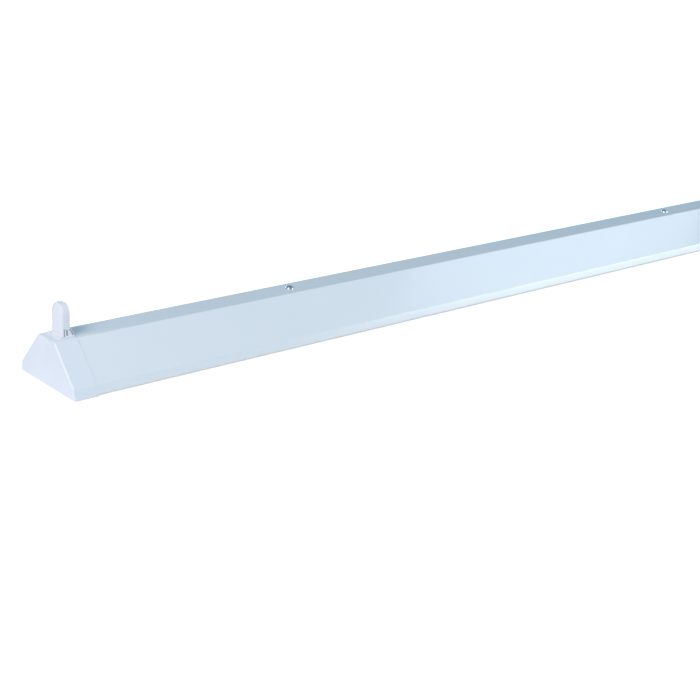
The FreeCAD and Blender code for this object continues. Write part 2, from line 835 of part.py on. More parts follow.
def ballast_case():
    body = new_body("ballast_case")
    half = "ballast_width / 2"
    inside = f"{half} - ballast_gauge"
    floor = "tray_gauge + ballast_gauge"
    rim = "tray_gauge + ballast_height - ballast_gauge - lid_gap"
    walls = [(half, "tray_gauge"), (half, rim), (inside, rim), (inside, floor)]
    pad(loop(sketch(body, "X"), mirrored(walls)), "ballast_length", both=True)
    corners = [(half, "tray_gauge"), (minus(half), "tray_gauge")]
    soften(body, edges_along(body, "X", corners), "bend_radius")
    reach = "ballast_half + ear_length"
    ears = rectangle(sketch(body, "Z", "tray_gauge"), minus(reach), "-ear_length", reach, "ear_length")
    pad(ears, "ballast_gauge")
    for end in BOTH:
        middle = f"{end} * (ballast_half - standoff_inset)"
        block(body, (f"{middle} - standoff_width / 2", "-standoff_length / 2", "tray_gauge"),
              (f"{middle} + standoff_width / 2", "standoff_length / 2", "board_level"))
    holes = sketch(body, "Z", "tray_gauge - overrun")
    for end in BOTH:
        ring(holes, f"{end} * ballast_screw_reach", "0", "fixing_screw_radius + run_gap")
    cut(holes, "ballast_gauge + 2 * overrun")
    return keep(place(body, "ballast_place"))


def ballast_cover():
    body = new_body("ballast_cover")
    outer_side = "ballast_width / 2 + lid_gap + ballast_gauge"
    inner_side = "ballast_width / 2 + lid_gap"
    top = "tray_gauge + ballast_height"
    foot = "tray_gauge + ballast_height / 2"
    outer_end = "ballast_half + lid_gap + ballast_gauge"
    inner_end = "ballast_half + lid_gap"
    block(body, (minus(outer_end), minus(outer_side), foot), (outer_end, outer_side, top))
    rims = edges_in(body, "Z", top)
    uprights = [(a, b) for a in (outer_end, minus(outer_end)) for b in (outer_side, minus(outer_side))]
    soften(body, rims + edges_along(body, "Z", uprights), "bend_radius")
    hollow = rectangle(sketch(body, "Z", f"{foot} - overrun"), minus(inner_end), minus(inner_side),
                       inner_end, inner_side)
    cut(hollow, f"{top} - ballast_gauge - ({foot}) + overrun")
    # Notches for the terminals in both end walls
    half = "terminal_width / 2 + lid_gap"
    gate = rectangle(sketch(body, "X", f"{minus(outer_end)} - overrun"), minus(half),
                     f"{foot} - overrun", half, "board_level + board_thick + terminal_height + lid_gap")
    cut(gate, f"2 * ({outer_end} + overrun)")
    return keep(place(body, "ballast_place"))


def ballast_board():
    body = new_body("ballast_board")
    side = "ballast_width / 2 - ballast_gauge - board_side_gap"
    reach = "ballast_half - board_side_gap"
    block(body, (minus(reach), minus(side), "board_level"), (reach, side, "board_level + board_thick"))
    return keep(place(body, "ballast_place"))


def ballast_choke():
    """Two ferrite halves as one block, with the winding that bulges out of it."""
    body = new_body("ballast_choke")
    foot = "board_level + board_thick"
    length, width = "choke_length / 2", "choke_width / 2"
    block(body, (minus(length), minus(width), foot), (length, width, f"{foot} + choke_height"))
    side, half = f"{width} + coil_overhang", "coil_length / 2"
    low, high = (f"{foot} + (choke_height {sign} coil_height) / 2" for sign in "-+")
    block(body, (minus(half), minus(side), low), (half, side, high))
    spots = [(minus(half), minus(side)), (minus(half), side), (half, minus(side)), (half, side)]
    soften(body, edges_along(body, "Z", spots), "coil_corner")
    return keep(place(body, "ballast_place + choke_place"))


def ballast_capacitor(index):
    body = new_body(f"ballast_capacitor_{index}")
    foot = "board_level + board_thick"
    pad(ring(sketch(body, "Z", foot), "0", "0", "capacitor_radius"), "capacitor_height")
    bevel(body, edges_in(body, "Z", f"{foot} + capacitor_height"), "capacitor_edge")
    return place(body, f"ballast_place + capacitor_place + {index} * capacitor_pitch")


def ballast_terminal(label, sense, pitch, count):
    """Push-in terminal strip with one wire hole for each lead, at one end of the board."""
    body = new_body(label)
    foot = "board_level + board_thick"
    half = "terminal_width / 2"
    block(body, ("-terminal_depth", minus(half), foot), ("0", half, f"{foot} + terminal_height"))
    soften(body, edges_along(body, "Y", [("0", f"{foot} + terminal_height")]), "bend_radius")
    mouths = sketch(body, "X", "-terminal_hole_depth")
    for index in range(count):
        across = f"({index} - {(count - 1) / 2}) * {pitch}"
        ring(mouths, across, "terminal_level", "terminal_hole_radius")
    cut(mouths, "terminal_hole_depth + overrun")
    reach = f"ballast_place + {sense} * (ballast_half + terminal_reach)"
    return keep(place(body, reach, turned=sense == "-1"))


def ballast():
    ballast_case()
    ballast_cover()
    ballast_board()
    ballast_choke()
    group("ballast_capacitors", [ballast_capacitor(index) for index in POLES])
    ballast_terminal("ballast_input_terminal", "-1", "input_pitch", 2)
    ballast_terminal("ballast_output_terminal", "1", "output_pitch", 4)
    length = "ballast_gauge + tray_gauge - run_gap"
    screws = []
    for end in BOTH:
        screw = fixing_screw(f"ballast_screw_{end}", length)
        screws.append(place(screw, f"ballast_place + {end} * ballast_screw_reach", "0",
                            "tray_gauge + ballast_gauge"))
    group("ballast_screws", screws)


# End caps: moulded, flush with the cover, each with a tongue that the cover's end sits on

def end_cap(side):
    body = new_body(f"end_cap_{side}")
    outer = section("0", "0")
    pad(loop(sketch(body, "X"), mirrored(outer)), "cap_depth")
    bends = outer[1:] + [(minus(a), b) for a, b in outer[1:]]
    soften(body, edges_along(body, "X", bends), "bend_radius + cover_gauge")
    soften(body, edges_in(body, "X", "0", above="0"), "cap_edge")
    cavity = loop(sketch(body, "X", "cap_end"), mirrored(section("cap_wall", "-overrun")))
    cut(cavity, "cap_depth")
    tongue = section("cover_gauge + rest_gap", "tongue_foot")
    hollow = section("cover_gauge + rest_gap + tongue_wall", "tongue_foot")
    band = mirrored(tongue) + [(minus(a), b) for a, b in hollow] + list(reversed(hollow))
    pad(loop(sketch(body, "X", "cap_depth - tongue_length"), band), "2 * tongue_length")
    # Lugs that stand on the tray, ribs above them
    root, level = "cap_end / 2", "tray_gauge + lug_thick / 2"
    for sense in BOTH:
        lug = rectangle(sketch(body, "Z", "tray_gauge"), root, f"{sense} * lug_inner",
                        "cap_end + lug_reach", f"{sense} * lug_outer")
        pad(lug, "lug_thick")
        gusset = sketch(body, "Y", f"{sense} * lug_inner - {'0' if sense == '1' else 'rib_thick'}")
        loop(gusset, [(root, level), ("cap_end + rib_reach", level), (root, f"{level} + rib_reach")])
        pad(gusset, "rib_thick")
    holes = sketch(body, "Z", "tray_gauge - overrun")
    for sense in BOTH:
        ring(holes, "lug_hole_reach", f"{sense} * lug_side", "fixing_screw_radius + run_gap")
    cut(holes, "lug_thick + 2 * overrun")
    # Opening for the lampholder's plug
    seat = sketch(body, "Z", "body_height - cap_wall - overrun")
    half = "plug_width / 2 + plug_play"
    rectangle(seat, "holder_setback + plug_start - plug_play", minus(half),
              "holder_setback + plug_end + plug_play", half)
    cut(seat, "cap_wall + 2 * overrun")
    return keep(end_place(body, side, "0"))


def end_cap_screws():
    screws = []
    length = "lug_thick + tray_gauge - run_gap"
    for side in BOTH:
        for across in BOTH:
            screw = fixing_screw(f"end_cap_screw_{side}_{across}", length)
            screws.append(place(screw, f"{side} * (half_length - lug_hole_reach)",
                                f"{across} * lug_side", "tray_gauge + lug_thick"))
    group("end_cap_screws", screws)


# Lampholder housing: bevelled tombstone on a flared, ribbed foot, with a snap-in plug below

def lampholder_housing(side):
    body = new_body(f"lampholder_housing_{side}")
    half = "holder_width / 2"
    pad(arch(sketch(body, "X"), half, "flange_thick", "holder_height"), "holder_thick")
    bevel(body, edges_in(body, "X", "0", above="flange_thick"), "holder_bevel", "holder_bevel_depth")
    flare = sketch(body, "Y")
    loop(flare, [("0", "0"), ("flare_reach", "0"), ("flare_reach", "flange_thick"),
                 ("holder_thick", "flare_height"), ("0", "flare_height")])
    pad(flare, "holder_width", both=True)
    flange_half = "flange_width / 2"
    block(body, ("-flange_front", minus(flange_half), "0"), ("flange_back", flange_half, "flange_thick"))
    corners = [(a, b) for a in ("-flange_front", "flange_back") for b in (flange_half, minus(flange_half))]
    soften(body, edges_along(body, "Z", corners), "flange_corner")
    housing_plug(body)
    housing_ribs(body)
    housing_chamber(body)
    return keep(end_place(body, side, "holder_setback", "body_height"))


def housing_plug(body):
    """Plug that passes through the cap's top, with a snap hook on each side."""
    half = "plug_width / 2"
    block(body, ("plug_start", minus(half), "-plug_depth"), ("plug_end", half, "flange_thick / 2"))
    middle = "(plug_start + plug_end) / 2"
    catch = "-cap_wall - rest_gap"
    hooks = sketch(body, "X", f"{middle} - hook_length / 2")
    for sense in BOTH:
        loop(hooks, [(f"{sense} * ({half} - hook_reach)", catch),
                     (f"{sense} * ({half} + hook_reach)", catch),
                     (f"{sense} * ({half} + hook_tip)", f"{catch} - hook_height"),
                     (f"{sense} * ({half} - hook_reach)", f"{catch} - hook_height")])
    pad(hooks, "hook_length")


def housing_ribs(body):
    """Recesses in both flanks of the foot, which leave ribs that fan out to the tube side."""
    lean = "(flare_reach - holder_thick) / (flare_height - flange_thick)"
    low, high = "flange_thick", "flare_height - rib_wall / 2"

    def slope(level, offset):
        return f"(holder_thick + (flare_height - ({level})) * {lean} - {offset})"

    for level in ("holder_width / 2 - flare_recess", "-holder_width / 2 - overrun"):
        front = sketch(body, "Y", level)
        arch(front, "rib_gap / 2", low, high, "rib_wall + rib_gap / 2")
        arch(front, "oval_width / 2", f"{low} + rib_wall / 2", f"{high} - rib_wall",
             "rib_wall + rib_gap + oval_wall + oval_width / 2")
        near_side, far_side = "slit_cover", "slit_cover + rib_gap"
        top = f"{high} - rib_wall / 2"
        loop(front, [(slope(low, far_side), low), (slope(low, near_side), low),
                     (slope(top, near_side), top), (slope(top, far_side), top)])
        cut(front, "flare_recess + overrun")


def housing_chamber(body):
    """Inside of the housing: seat of the back plate, contact chamber, rotor bore and pin slot."""
    plate = "holder_width / 2 - plate_border"
    seat = sketch(body, "X", "-overrun")
    arch(seat, plate, "plate_foot", "holder_height - plate_border")
    cut(seat, "overrun + plate_thick")
    chamber = sketch(body, "X", "plate_thick - overrun")
    arch(chamber, "chamber_radius", "chamber_foot", "rotor_level + chamber_radius")
    cut(chamber, "chamber_depth - plate_thick + overrun")
    channel = "channel_width / 2"
    shaft = rectangle(sketch(body, "Z", "-plug_depth - overrun"), "plate_thick + rest_gap",
                      minus(channel), "chamber_depth", channel)
    cut(shaft, "plug_depth + chamber_foot + 2 * overrun")
    bore = ring(sketch(body, "X", "chamber_depth - overrun"), "0", "rotor_level",
                "rotor_radius + rotor_gap")
    cut(bore, "holder_thick - chamber_depth + 2 * overrun")
    half, mouth = "pin_slot / 2", "pin_slot_mouth / 2"
    slot = sketch(body, "X", "plate_thick + rest_gap")
    loop(slot, [(minus(half), "rotor_level"), (half, "rotor_level"),
                (half, "holder_height - pin_slot_flare"), (mouth, "holder_height + overrun"),
                (minus(mouth), "holder_height + overrun"),
                (minus(half), "holder_height - pin_slot_flare")])
    cut(slot, "holder_thick + overrun")


def lampholder_back(side):
    """Snap-in plate that closes the housing's outer face, with a raised centre panel."""
    body = new_body(f"lampholder_back_{side}")
    half = "holder_width / 2 - plate_border - plate_gap"
    pad(arch(sketch(body, "X", "plate_gap"), half, "plate_foot + plate_gap",
             "holder_height - plate_border - plate_gap"), "plate_thick - plate_gap")
    panel = "panel_width / 2"
    rise = sketch(body, "X", "plate_gap - panel_rise")
    arch(rise, panel, "plate_foot + plate_border", f"rotor_level + {panel}")
    pad(rise, "panel_rise + plate_gap")
    return keep(end_place(body, side, "holder_setback", "body_height"))


def lampholder_rotor(side):
    """Round insert with the groove that takes the tube's pins, turned about X."""
    body = new_body(f"lampholder_rotor_{side}")
    outline = [("rotor_back", "0"), ("rotor_back", "rotor_hub_radius"),
               ("rotor_flange_front - rotor_flange_thick", "rotor_hub_radius"),
               ("rotor_flange_front - rotor_flange_thick", "rotor_flange_radius"),
               ("rotor_flange_front", "rotor_flange_radius"), ("rotor_flange_front", "rotor_radius"),
               ("holder_thick", "rotor_radius"), ("holder_thick", "0")]
    spin(loop(sketch(body, "Y"), outline), "H_Axis")
    groove = sketch(body, "X", "holder_thick - rotor_groove_depth")
    ring(groove, "0", "0", "rotor_groove_radius")
    ring(groove, "0", "0", "rotor_groove_radius - rotor_groove_width")
    cut(groove, "rotor_groove_depth + overrun")
    slot = sketch(body, "X", "rotor_back + rotor_groove_depth")
    reach = "rotor_flange_radius + overrun"
    rectangle(slot, "-pin_slot / 2", minus(reach), "pin_slot / 2", reach)
    cut(slot, "holder_thick")
    return keep(end_place(body, side, "holder_setback", "body_height + rotor_level"))


def contact(side, sense):
    """Brass strip from the rotor down to the plug, nosed where a pin bears on it."""
    body = new_body(f"contact_{side}_{sense}")
    top, foot, knee = "rotor_level + contact_rise", "-plug_depth / 2", "chamber_foot + contact_knee"
    inner, tail = "contact_side", "contact_tail_side"
    outer, back = f"{inner} + contact_gauge", f"{tail} + contact_gauge"
    path = [(outer, top), (outer, knee), (back, "chamber_foot + contact_gauge"), (back, foot),
            (tail, foot), (tail, "chamber_foot + 2 * contact_gauge"), (inner, f"{knee} + contact_gauge"),
            (inner, "rotor_level - contact_rise / 2"),
            (f"{inner} - contact_nose", "rotor_level"),
            (inner, "rotor_level + contact_rise / 2"), (inner, top)]
    drawn = sketch(body, "X", "rotor_back + run_gap")
    loop(drawn, [(f"{sense} * ({a})", b) for a, b in path])
    pad(drawn, "contact_width")
    return end_place(body, side, "holder_setback", "body_height")


def lampholder(side):
    lampholder_housing(side)
    lampholder_back(side)
    lampholder_rotor(side)
    group(f"lampholder_contacts_{side}", [contact(side, "-1"), contact(side, "1")])


# Leads: straight runs joined by tangent arcs

def lead_shape(route):
    """A round lead along a route of points, each arc as large as its two runs allow."""
    points = [FreeCAD.Vector(*(number(text) for text in spot)) for spot in route]
    edges, radii = [], []
    start = points[0]
    for before, corner, after in zip(points, points[1:], points[2:]):
        back, ahead = (before - corner), (after - corner)
        run = min(back.Length, ahead.Length)
        half_turn = (math.pi - back.getAngle(ahead)) / 2
        reach = BEND_SHARE * run
        radius = reach / math.tan(half_turn)
        radii.append(radius)
        back.normalize()
        ahead.normalize()
        entry, leave = corner + back * reach, corner + ahead * reach
        centre_way = back + ahead
        centre_way.normalize()
        middle = corner + centre_way * (radius / math.cos(half_turn) - radius)
        edges.append(Part.LineSegment(start, entry).toShape())
        edges.append(Part.Arc(entry, middle, leave).toShape())
        start = leave
    edges.append(Part.LineSegment(start, points[-1]).toShape())
    path = Part.Wire(edges)
    way = points[1] - points[0]
    turn = FreeCAD.Rotation(FreeCAD.Vector(0, 0, 1), way)
    rim = []
    for index in range(LEAD_SIDES + 1):
        angle = 2 * math.pi * index / LEAD_SIDES
        spoke = FreeCAD.Vector(math.cos(angle), math.sin(angle), 0) * number("lead_radius")
        rim.append(points[0] + turn.multVec(spoke))
    section = Part.makePolygon(rim)
    tube = path.makePipeShell([section], True, False)
    ideal = Part.Face(section).Area * path.Length
    if abs(tube.Volume / ideal - 1) > VOLUME_SHARE:
        raise RuntimeError(f"a lead's volume is off: {tube.Volume:.1f} for {ideal:.1f}")
    print("lead bends of", ", ".join(f"{radius:.1f}" for radius in radii), "mm")
    return tube


def leads(label, routes):
    """One node with a lead for each route."""
    made = doc.addObject("Part::Feature", "Leads")
    made.Label = label
    shapes = [lead_shape(route) for route in routes]
    made.Shape = shapes[0] if len(shapes) == 1 else Part.makeCompound(shapes)
    made.Placement = FreeCAD.Placement()
    return keep(made)


def supply_leads():
    """Live, neutral and earth from the terminal block's inner side."""
    start = "block_place + cage_length / 2 - cage_bore"
    out = "block_place + block_depth / 2"
    mouth = "ballast_place - ballast_half - terminal_reach"
    bottom = f"{mouth} + terminal_hole_depth - run_gap"
    for label, pole, side in (("neutral_lead", "-pole_pitch", "-input_pitch / 2"),
                              ("live_lead", "0", "input_pitch / 2")):
        leads(label, [[(start, pole, "cage_level"), (f"{out} + supply_straight", pole, "cage_level"),
                       (f"{out} + supply_middle", f"({pole} + {side}) / 2",
                        "terminal_level - supply_sag"),
                       (f"{mouth} - entry_straight", side, "terminal_level"),
                       (bottom, side, "terminal_level")]])
    barrel = "tray_gauge + barrel_radius"
    tail = "earth_place - tag_neck - barrel_length"
    leads("earth_lead", [[(start, "pole_pitch", "cage_level"),
                          (f"{out} + earth_straight", "pole_pitch", "cage_level"),
                          (f"{out} + earth_middle", "(pole_pitch + earth_side) / 2",
                           "cage_level - supply_sag"),
                          (f"{tail} - barrel_straight", "earth_side", barrel),
                          (f"{tail} + barrel_length - run_gap", "earth_side", barrel)]])


def holder_rise(side, lane, pair):
    """Last points of a lamp lead, up into a lampholder's plug."""
    sense = "-1" if side == "left" else "1"
    middle = f"{sense} * (half_length - holder_setback - channel_middle)"
    top = "body_height - plug_depth / 2 - lead_radius"
    across = f"{pair} * (contact_tail_side - rest_gap - lead_radius)"
    inward = "1" if side == "left" else "-1"
    return [(f"{middle} + {inward} * climb_start", lane, "gutter_level"),
            (f"{middle} + {inward} * climb_middle", f"({lane}) / 3", "gutter_level + climb_low"),
            (f"{middle} + {inward} * climb_end", across, "gutter_level + climb_high"),
            (middle, across, "body_height - plug_depth - plug_straight"), (middle, across, top)]


def lamp_leads():
    """A pair to each lampholder: along the gutters, clipped to the tray."""
    mouth = "ballast_place + ballast_half + terminal_reach"
    bottom = f"{mouth} - terminal_hole_depth + run_gap"
    routes = {"left": [], "right": []}
    post_end = "screw_spacing / 2 + post_length / 2"
    for pair in BOTH:
        lane = f"-gutter_side + {pair} * lead_pitch / 2"
        side = f"-output_pitch + {pair} * output_pitch / 2"
        corner = f"{mouth} + turn_reach - (1 + {pair}) / 2 * turn_step"
        routes["left"].append([(bottom, side, "terminal_level"),
                               (f"{mouth} + exit_straight", side, "terminal_level"),
                               (corner, f"{side} - turn_start", "terminal_level - supply_sag"),
                               (corner, f"{lane} + turn_end", "gutter_level + turn_rise"),
                               (f"{corner} - entry_straight", lane, "gutter_level")]
                              + holder_rise("left", lane, pair))
        lane = f"gutter_side + {pair} * lead_pitch / 2"
        side = f"output_pitch + {pair} * output_pitch / 2"
        routes["right"].append([(bottom, side, "terminal_level"),
                                (f"{mouth} + post_straight", side, "terminal_level"),
                                (post_end, side, "terminal_level - post_dip"),
                                (f"{post_end} + post_passed", lane, "gutter_level")]
                               + holder_rise("right", lane, pair))
    leads("lamp_leads_left", routes["left"])
    leads("lamp_leads_right", routes["right"])


def lead_clip(index, x, y):
    """Moulded saddle with a bore for each lead of a pair."""
    body = new_body(f"lead_clip_{index}")
    half, length = "clip_width / 2", "clip_length / 2"
    top = "tray_gauge + clip_height"
    block(body, (minus(length), minus(half), "tray_gauge"), (length, half, top))
    bevel(body, edges_along(body, "X", [(half, top), (minus(half), top)]), "clip_bevel")
    bores = sketch(body, "X", f"{minus(length)} - overrun")
    for pair in BOTH:
        ring(bores, f"{pair} * lead_pitch / 2", "gutter_level", "lead_radius + run_gap")
    cut(bores, "clip_length + 2 * overrun")
    return place(body, x, y)


def lead_clips():
    places = [(f"first_clip + {step} * clip_spacing", "-gutter_side") for step in range(4)]
    places.append(("right_clip", "gutter_side"))
    group("lead_clips", [lead_clip(index, x, y) for index, (x, y) in enumerate(places)])


# The whole fixture

def build():
    cover_spine()
    gear_tray()
    for side in ("left", "right"):
        cover_post(side)
        cover_screw(side)
        screw_retainer(side)
        end_cap(side)
        lampholder(side)
    group("post_nuts", [post_nut("-1"), post_nut("1")])
    end_cap_screws()
    cable_grommet()
    mains_terminals()
    earth_point()
    ballast()
    supply_leads()
    lamp_leads()
    lead_clips()


def check():
    """Stop on any object that failed, and on any node without a valid shape."""
    doc.recompute()
    for item in doc.Objects:
        if {"Invalid", "Error"} & set(item.State):
            raise RuntimeError(f"{item.Label} ({item.Name}): {item.State}")
    for node in nodes:
        if node.Shape.isNull() or not node.Shape.isValid():
            raise RuntimeError(f"{node.Label} has no valid shape")


def write():
    os.makedirs("parts", exist_ok=True)
    for node in nodes:
        node.Shape.exportStep(os.path.join("parts", node.Label + ".step"))
        print(f"{node.Label}: {len(node.Shape.Solids)} solid(s), {node.Shape.Volume:.0f} mm3")
    print(len(nodes), "nodes")


build()
check()
write()
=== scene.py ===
import json
import math
from functools import cache

import bmesh
import bpy
from bpy.props import FloatProperty, FloatVectorProperty, IntProperty, PointerProperty
from mathutils import Matrix, Vector

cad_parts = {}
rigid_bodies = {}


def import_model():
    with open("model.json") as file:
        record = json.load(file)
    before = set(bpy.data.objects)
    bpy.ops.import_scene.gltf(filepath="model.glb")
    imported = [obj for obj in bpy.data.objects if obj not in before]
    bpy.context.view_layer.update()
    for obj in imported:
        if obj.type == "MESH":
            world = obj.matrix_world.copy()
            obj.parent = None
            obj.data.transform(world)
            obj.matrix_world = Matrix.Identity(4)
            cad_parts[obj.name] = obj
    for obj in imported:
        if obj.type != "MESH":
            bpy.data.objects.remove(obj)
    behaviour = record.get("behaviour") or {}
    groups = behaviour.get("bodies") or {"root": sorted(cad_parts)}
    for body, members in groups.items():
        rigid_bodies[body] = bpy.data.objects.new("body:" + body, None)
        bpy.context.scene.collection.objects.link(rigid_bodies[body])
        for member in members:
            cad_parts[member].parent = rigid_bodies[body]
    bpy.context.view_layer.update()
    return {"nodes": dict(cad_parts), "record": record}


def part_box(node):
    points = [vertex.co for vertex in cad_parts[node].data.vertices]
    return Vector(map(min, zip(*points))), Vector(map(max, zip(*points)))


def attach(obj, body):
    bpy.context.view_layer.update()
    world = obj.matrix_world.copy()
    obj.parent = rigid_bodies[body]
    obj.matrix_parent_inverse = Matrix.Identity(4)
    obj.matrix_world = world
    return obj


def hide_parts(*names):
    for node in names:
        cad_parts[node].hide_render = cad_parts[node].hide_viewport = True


bl_info = {
    "name": "Tube light fixture",
    "version": (1, 0, 0),
    "blender": (4, 5, 0),
    "location": "3D View > Sidebar > Tube light",
    "description": "Dresses a batten light: folded cover, end caps, lampholders, gear and studio",
    "category": "Object",
}

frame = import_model()
MM = 0.001
SIDES = {"left": -1, "right": 1}
SLOTS = {item["node"]: item["material_slot"] for item in frame["record"]["subparts"]}
COLOURS = {item["slot"]: item["base_color"] for item in frame["record"]["materials"]}
BODIES = {node: holder.parent.name.split(":", 1)[1] for node, holder in frame["nodes"].items()}
spine_low, spine_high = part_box("cover_spine")
screw_low, screw_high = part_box("cover_screw_right")

# Places that the pieces share with the solids, in millimetres

POST_PLACE = 328.0       # cover screws and posts, along X from the middle
POST_LEG = 14.0          # outer side of a post's legs, across
POST_FOOT_BEND = 0.6     # bend between a post's leg and foot
COVER_HOLE = 2.95        # radius of the cover's screw holes
COVER_CUT = 4.0          # length of what cuts them, through the sheet
NUT_HOLE = 3.6           # radius of the posts' nut holes
NUT_CUT = 5.0            # length of what cuts them
NOTCH_REACH = 5.8        # the returns stop this far short of the cover's ends
NOTCH_SIDE = 50.5        # outer side of the notches that this leaves, across
OVERCUT = 2              # what cuts the notches stands this far out of the sheet
HOLDER_PLACE = 605.35    # where the lamp leads rise into a lampholder, along X
LANE = 33                # middle of a pair of lamp leads in its gutter, across
LANE_LEVEL = 3.1         # height of the leads in the clips
LEAD_SHIFT = 1.6         # each lead of a pair from that middle
ARC_SHARE = 0.45         # part of a run that the arc at its corner may take up
LEAD_CREASE = 50         # degrees from which a lead's edge stays sharp
CLIP_BORE = 1.15         # radius of a clip's bores
CLIP_CUT = 12.0          # length of what cuts them
CLIP_PLACES = [(x, -LANE, 0) for x in (-480, -240, 0, 240)] + [(460, LANE, 0)]
FIXING_PLACES = {
    "end_cap_screws": [(x, y) for x in (-611.5, 611.5) for y in (-33.5, 33.5)],
    "terminal_block_screws": [(-52.0, y) for y in (-21.3, 21.3)],
    "ballast_screws": [(175.0 + way * 121.5, 0.0) for way in SIDES.values()],
    "earth_screw": [(25.0, 31.0)],
}

# Studio, in metres: a softbox's direction from the fixture, its distance and its size

SOFTBOXES = {
    "key": ((-0.775, -0.225, 0.60), 4.0, (2.0, 1.8)),
    "sheen": ((2.29, -0.98, 1.80), 3.05, (0.8, 0.8)),
    "low": ((2.25, -2.10, 0.27), 3.1, (1.2, 0.5)),
    "far": ((0.15, 0.98, 0.09), 4.0, (2.0, 0.6)),
}
FLOOR_RADIUS = 14.0
FLOOR_DROP = 0.0003      # keeps the floor clear of the faces that rest on it
FLOOR_GLOW = (0.8, 2.6, 0.69)    # rises from its last number to full between the first two


# Sizes and colours that a user would change

def amount(name, description, default, **more):
    return FloatProperty(name=name, description=description, default=default, min=0.0, **more)


def length(name, description, default):
    """A length whose default is given in millimetres."""
    return amount(name, description, default * MM, subtype="DISTANCE", unit="LENGTH", precision=5)


def power(name, description, default):
    return amount(name, description, default, unit="POWER")


def turning(name, description, default):
    return FloatProperty(name=name, description=description, default=default, subtype="ANGLE")


def colour(name, description, default):
    return FloatVectorProperty(name=name, description=description, default=default, size=3,
                               min=0.0, max=1.0, subtype="COLOR")


class SheetSizes(bpy.types.PropertyGroup):
    """Sizes of the folded sheet pieces."""
    cover_gauge: length("Cover gauge", "Thickness of the cover's sheet", 0.8)
    post_gauge: length("Post gauge", "Thickness of the cover posts' strip", 1.5)
    bend: length("Inner bend", "Inner radius of every fold", 1.2)
    return_width: length("Return", "Width of the cover's inward returns", 6.0)
    lip_height: length("Lip height", "Height of the lips above the mounting face", 10.8)
    lip_lean: length("Lip lean", "How far the lips lean in over their height", 2.3)
    top_width: length("Top width", "Width of the narrow top between the folds", 31.0)
    bend_steps: IntProperty(name="Bend steps", description="Faces round a fold", default=7, min=2)


class MouldedSizes(bpy.types.PropertyGroup):
    """Edge radii of the moulded and pressed pieces."""
    holder_edge: length("Lampholder edge", "Broken edge of the lampholders' mouldings", 0.28)
    cap_edge: length("Cap edge", "Broken edge of the end caps' mouldings", 0.12)
    small_edge: length("Small edge", "Broken edge of the small mouldings inside", 0.2)
    sheet_edge: length("Sheet edge", "Broken edge of cut sheet", 0.1)
    steel_edge: length("Steel edge", "Broken edge of the posts and screws", 0.12)
    contact_edge: length("Contact edge", "Broken edge of the contact springs", 0.06)


class ScrewSizes(bpy.types.PropertyGroup):
    """Sizes of the screws."""
    head_radius: length("Cover screw head", "Radius of the domed heads",
                        (screw_high.x - screw_low.x) / 2 / MM)
    head_height: length("Cover screw dome", "Height of the domed heads", 2.8)
    slot_width: length("Cover screw slot", "Width of the slot across the dome", 1.2)
    slot_depth: length("Slot depth", "Depth of the slot below the crown", 1.2)
    shank_radius: length("Cover screw shank", "Radius over the thread", 2.45)
    thread_pitch: length("Thread pitch", "Rise of the cover screws' thread in one turn", 0.8)
    thread_depth: length("Thread depth", "Depth of the cover screws' thread", 0.38)
    fixing_radius: length("Fixing screw shank", "Radius of the fixing screws' shanks", 1.9)
    fixing_head: length("Fixing screw head", "Radius of the fixing screws' heads", 3.6)
    fixing_height: length("Fixing screw height", "Height of the fixing screws' heads", 2.2)
    fixing_slot: length("Fixing screw slot", "Width and depth of their slots", 0.9)


class LeadSizes(bpy.types.PropertyGroup):
    """Sizes of the leads and their clips."""
    radius: length("Lead radius", "Radius over the insulation", 1.1)
    sides: IntProperty(name="Lead sides", description="Faces round each lead", default=16, min=6)
    clip_length: length("Clip length", "Length of a clip along its leads", 7.0)


class FinishColours(bpy.types.PropertyGroup):
    """Main colours of the outside."""
    spine: colour("Cover paint", "Gloss paint of the folded cover", COLOURS["spine_paint"])
    cap: colour("Cap plastic", "Moulded end caps", COLOURS["cap_plastic"])
    holder: colour("Lampholder plastic", "Moulded lampholders", COLOURS["holder_plastic"])


class StudioSettings(bpy.types.PropertyGroup):
    """Camera and lights."""
    eye: FloatVectorProperty(name="Camera place", description="Where the camera stands",
                             default=(-1.21666, -1.10401, 0.49036), size=3,
                             subtype="TRANSLATION", unit="LENGTH")
    heading: turning("Heading", "Camera's turn from +Y towards +X", 0.7259)
    dip: turning("Dip", "How far the camera looks down", 0.3456)
    lean: turning("Lean", "How far the camera leans over", 0.0481)
    lens: amount("Lens", "Focal length in millimetres", 70.81, unit="CAMERA")
    key: power("Key light", "Watts of the softbox by the near end", 89.0)
    key_tint: colour("Key tint", "Tint of the softbox by the near end", (1.0, 0.88, 0.87))
    sheen: power("Sheen light", "Watts of the softbox that the side mirrors", 5.3)
    sheen_tint: colour("Sheen tint", "Tint of that softbox", (0.723, 0.82, 1.0))
    low: power("Low light", "Watts of the softbox that the lip mirrors", 26.8)
    low_tint: colour("Low tint", "Tint of that softbox", (1.0, 0.995, 0.91))
    far: power("Far light", "Watts of the softbox behind the fixture", 28.0)
    far_tint: colour("Far tint", "Tint of the softbox behind the fixture", (0.9, 0.96, 1.0))
    sky: amount("Room light", "Strength of the even light all round", 0.415)
    sky_tint: colour("Room tint", "Cool tint of the even light", (0.465, 0.78, 1.0))


# Collecting pieces

def add(name, data):
    made = bpy.data.objects.new(name, data)
    bpy.context.scene.collection.objects.link(made)
    return made


def plain(carrier, name):
    """A plain mesh of the carrier as its modifiers leave it; the carrier itself goes."""
    graph = bpy.context.evaluated_depsgraph_get()
    mesh = bpy.data.meshes.new_from_object(carrier.evaluated_get(graph), depsgraph=graph)
    mesh.name = name
    source = carrier.data
    bpy.data.objects.remove(carrier)
    bpy.data.meshes.remove(source)
    return mesh


def poured(work, mesh):
    """The mesh with the worked faces in it."""
    work.to_mesh(mesh)
    work.free()
    return mesh


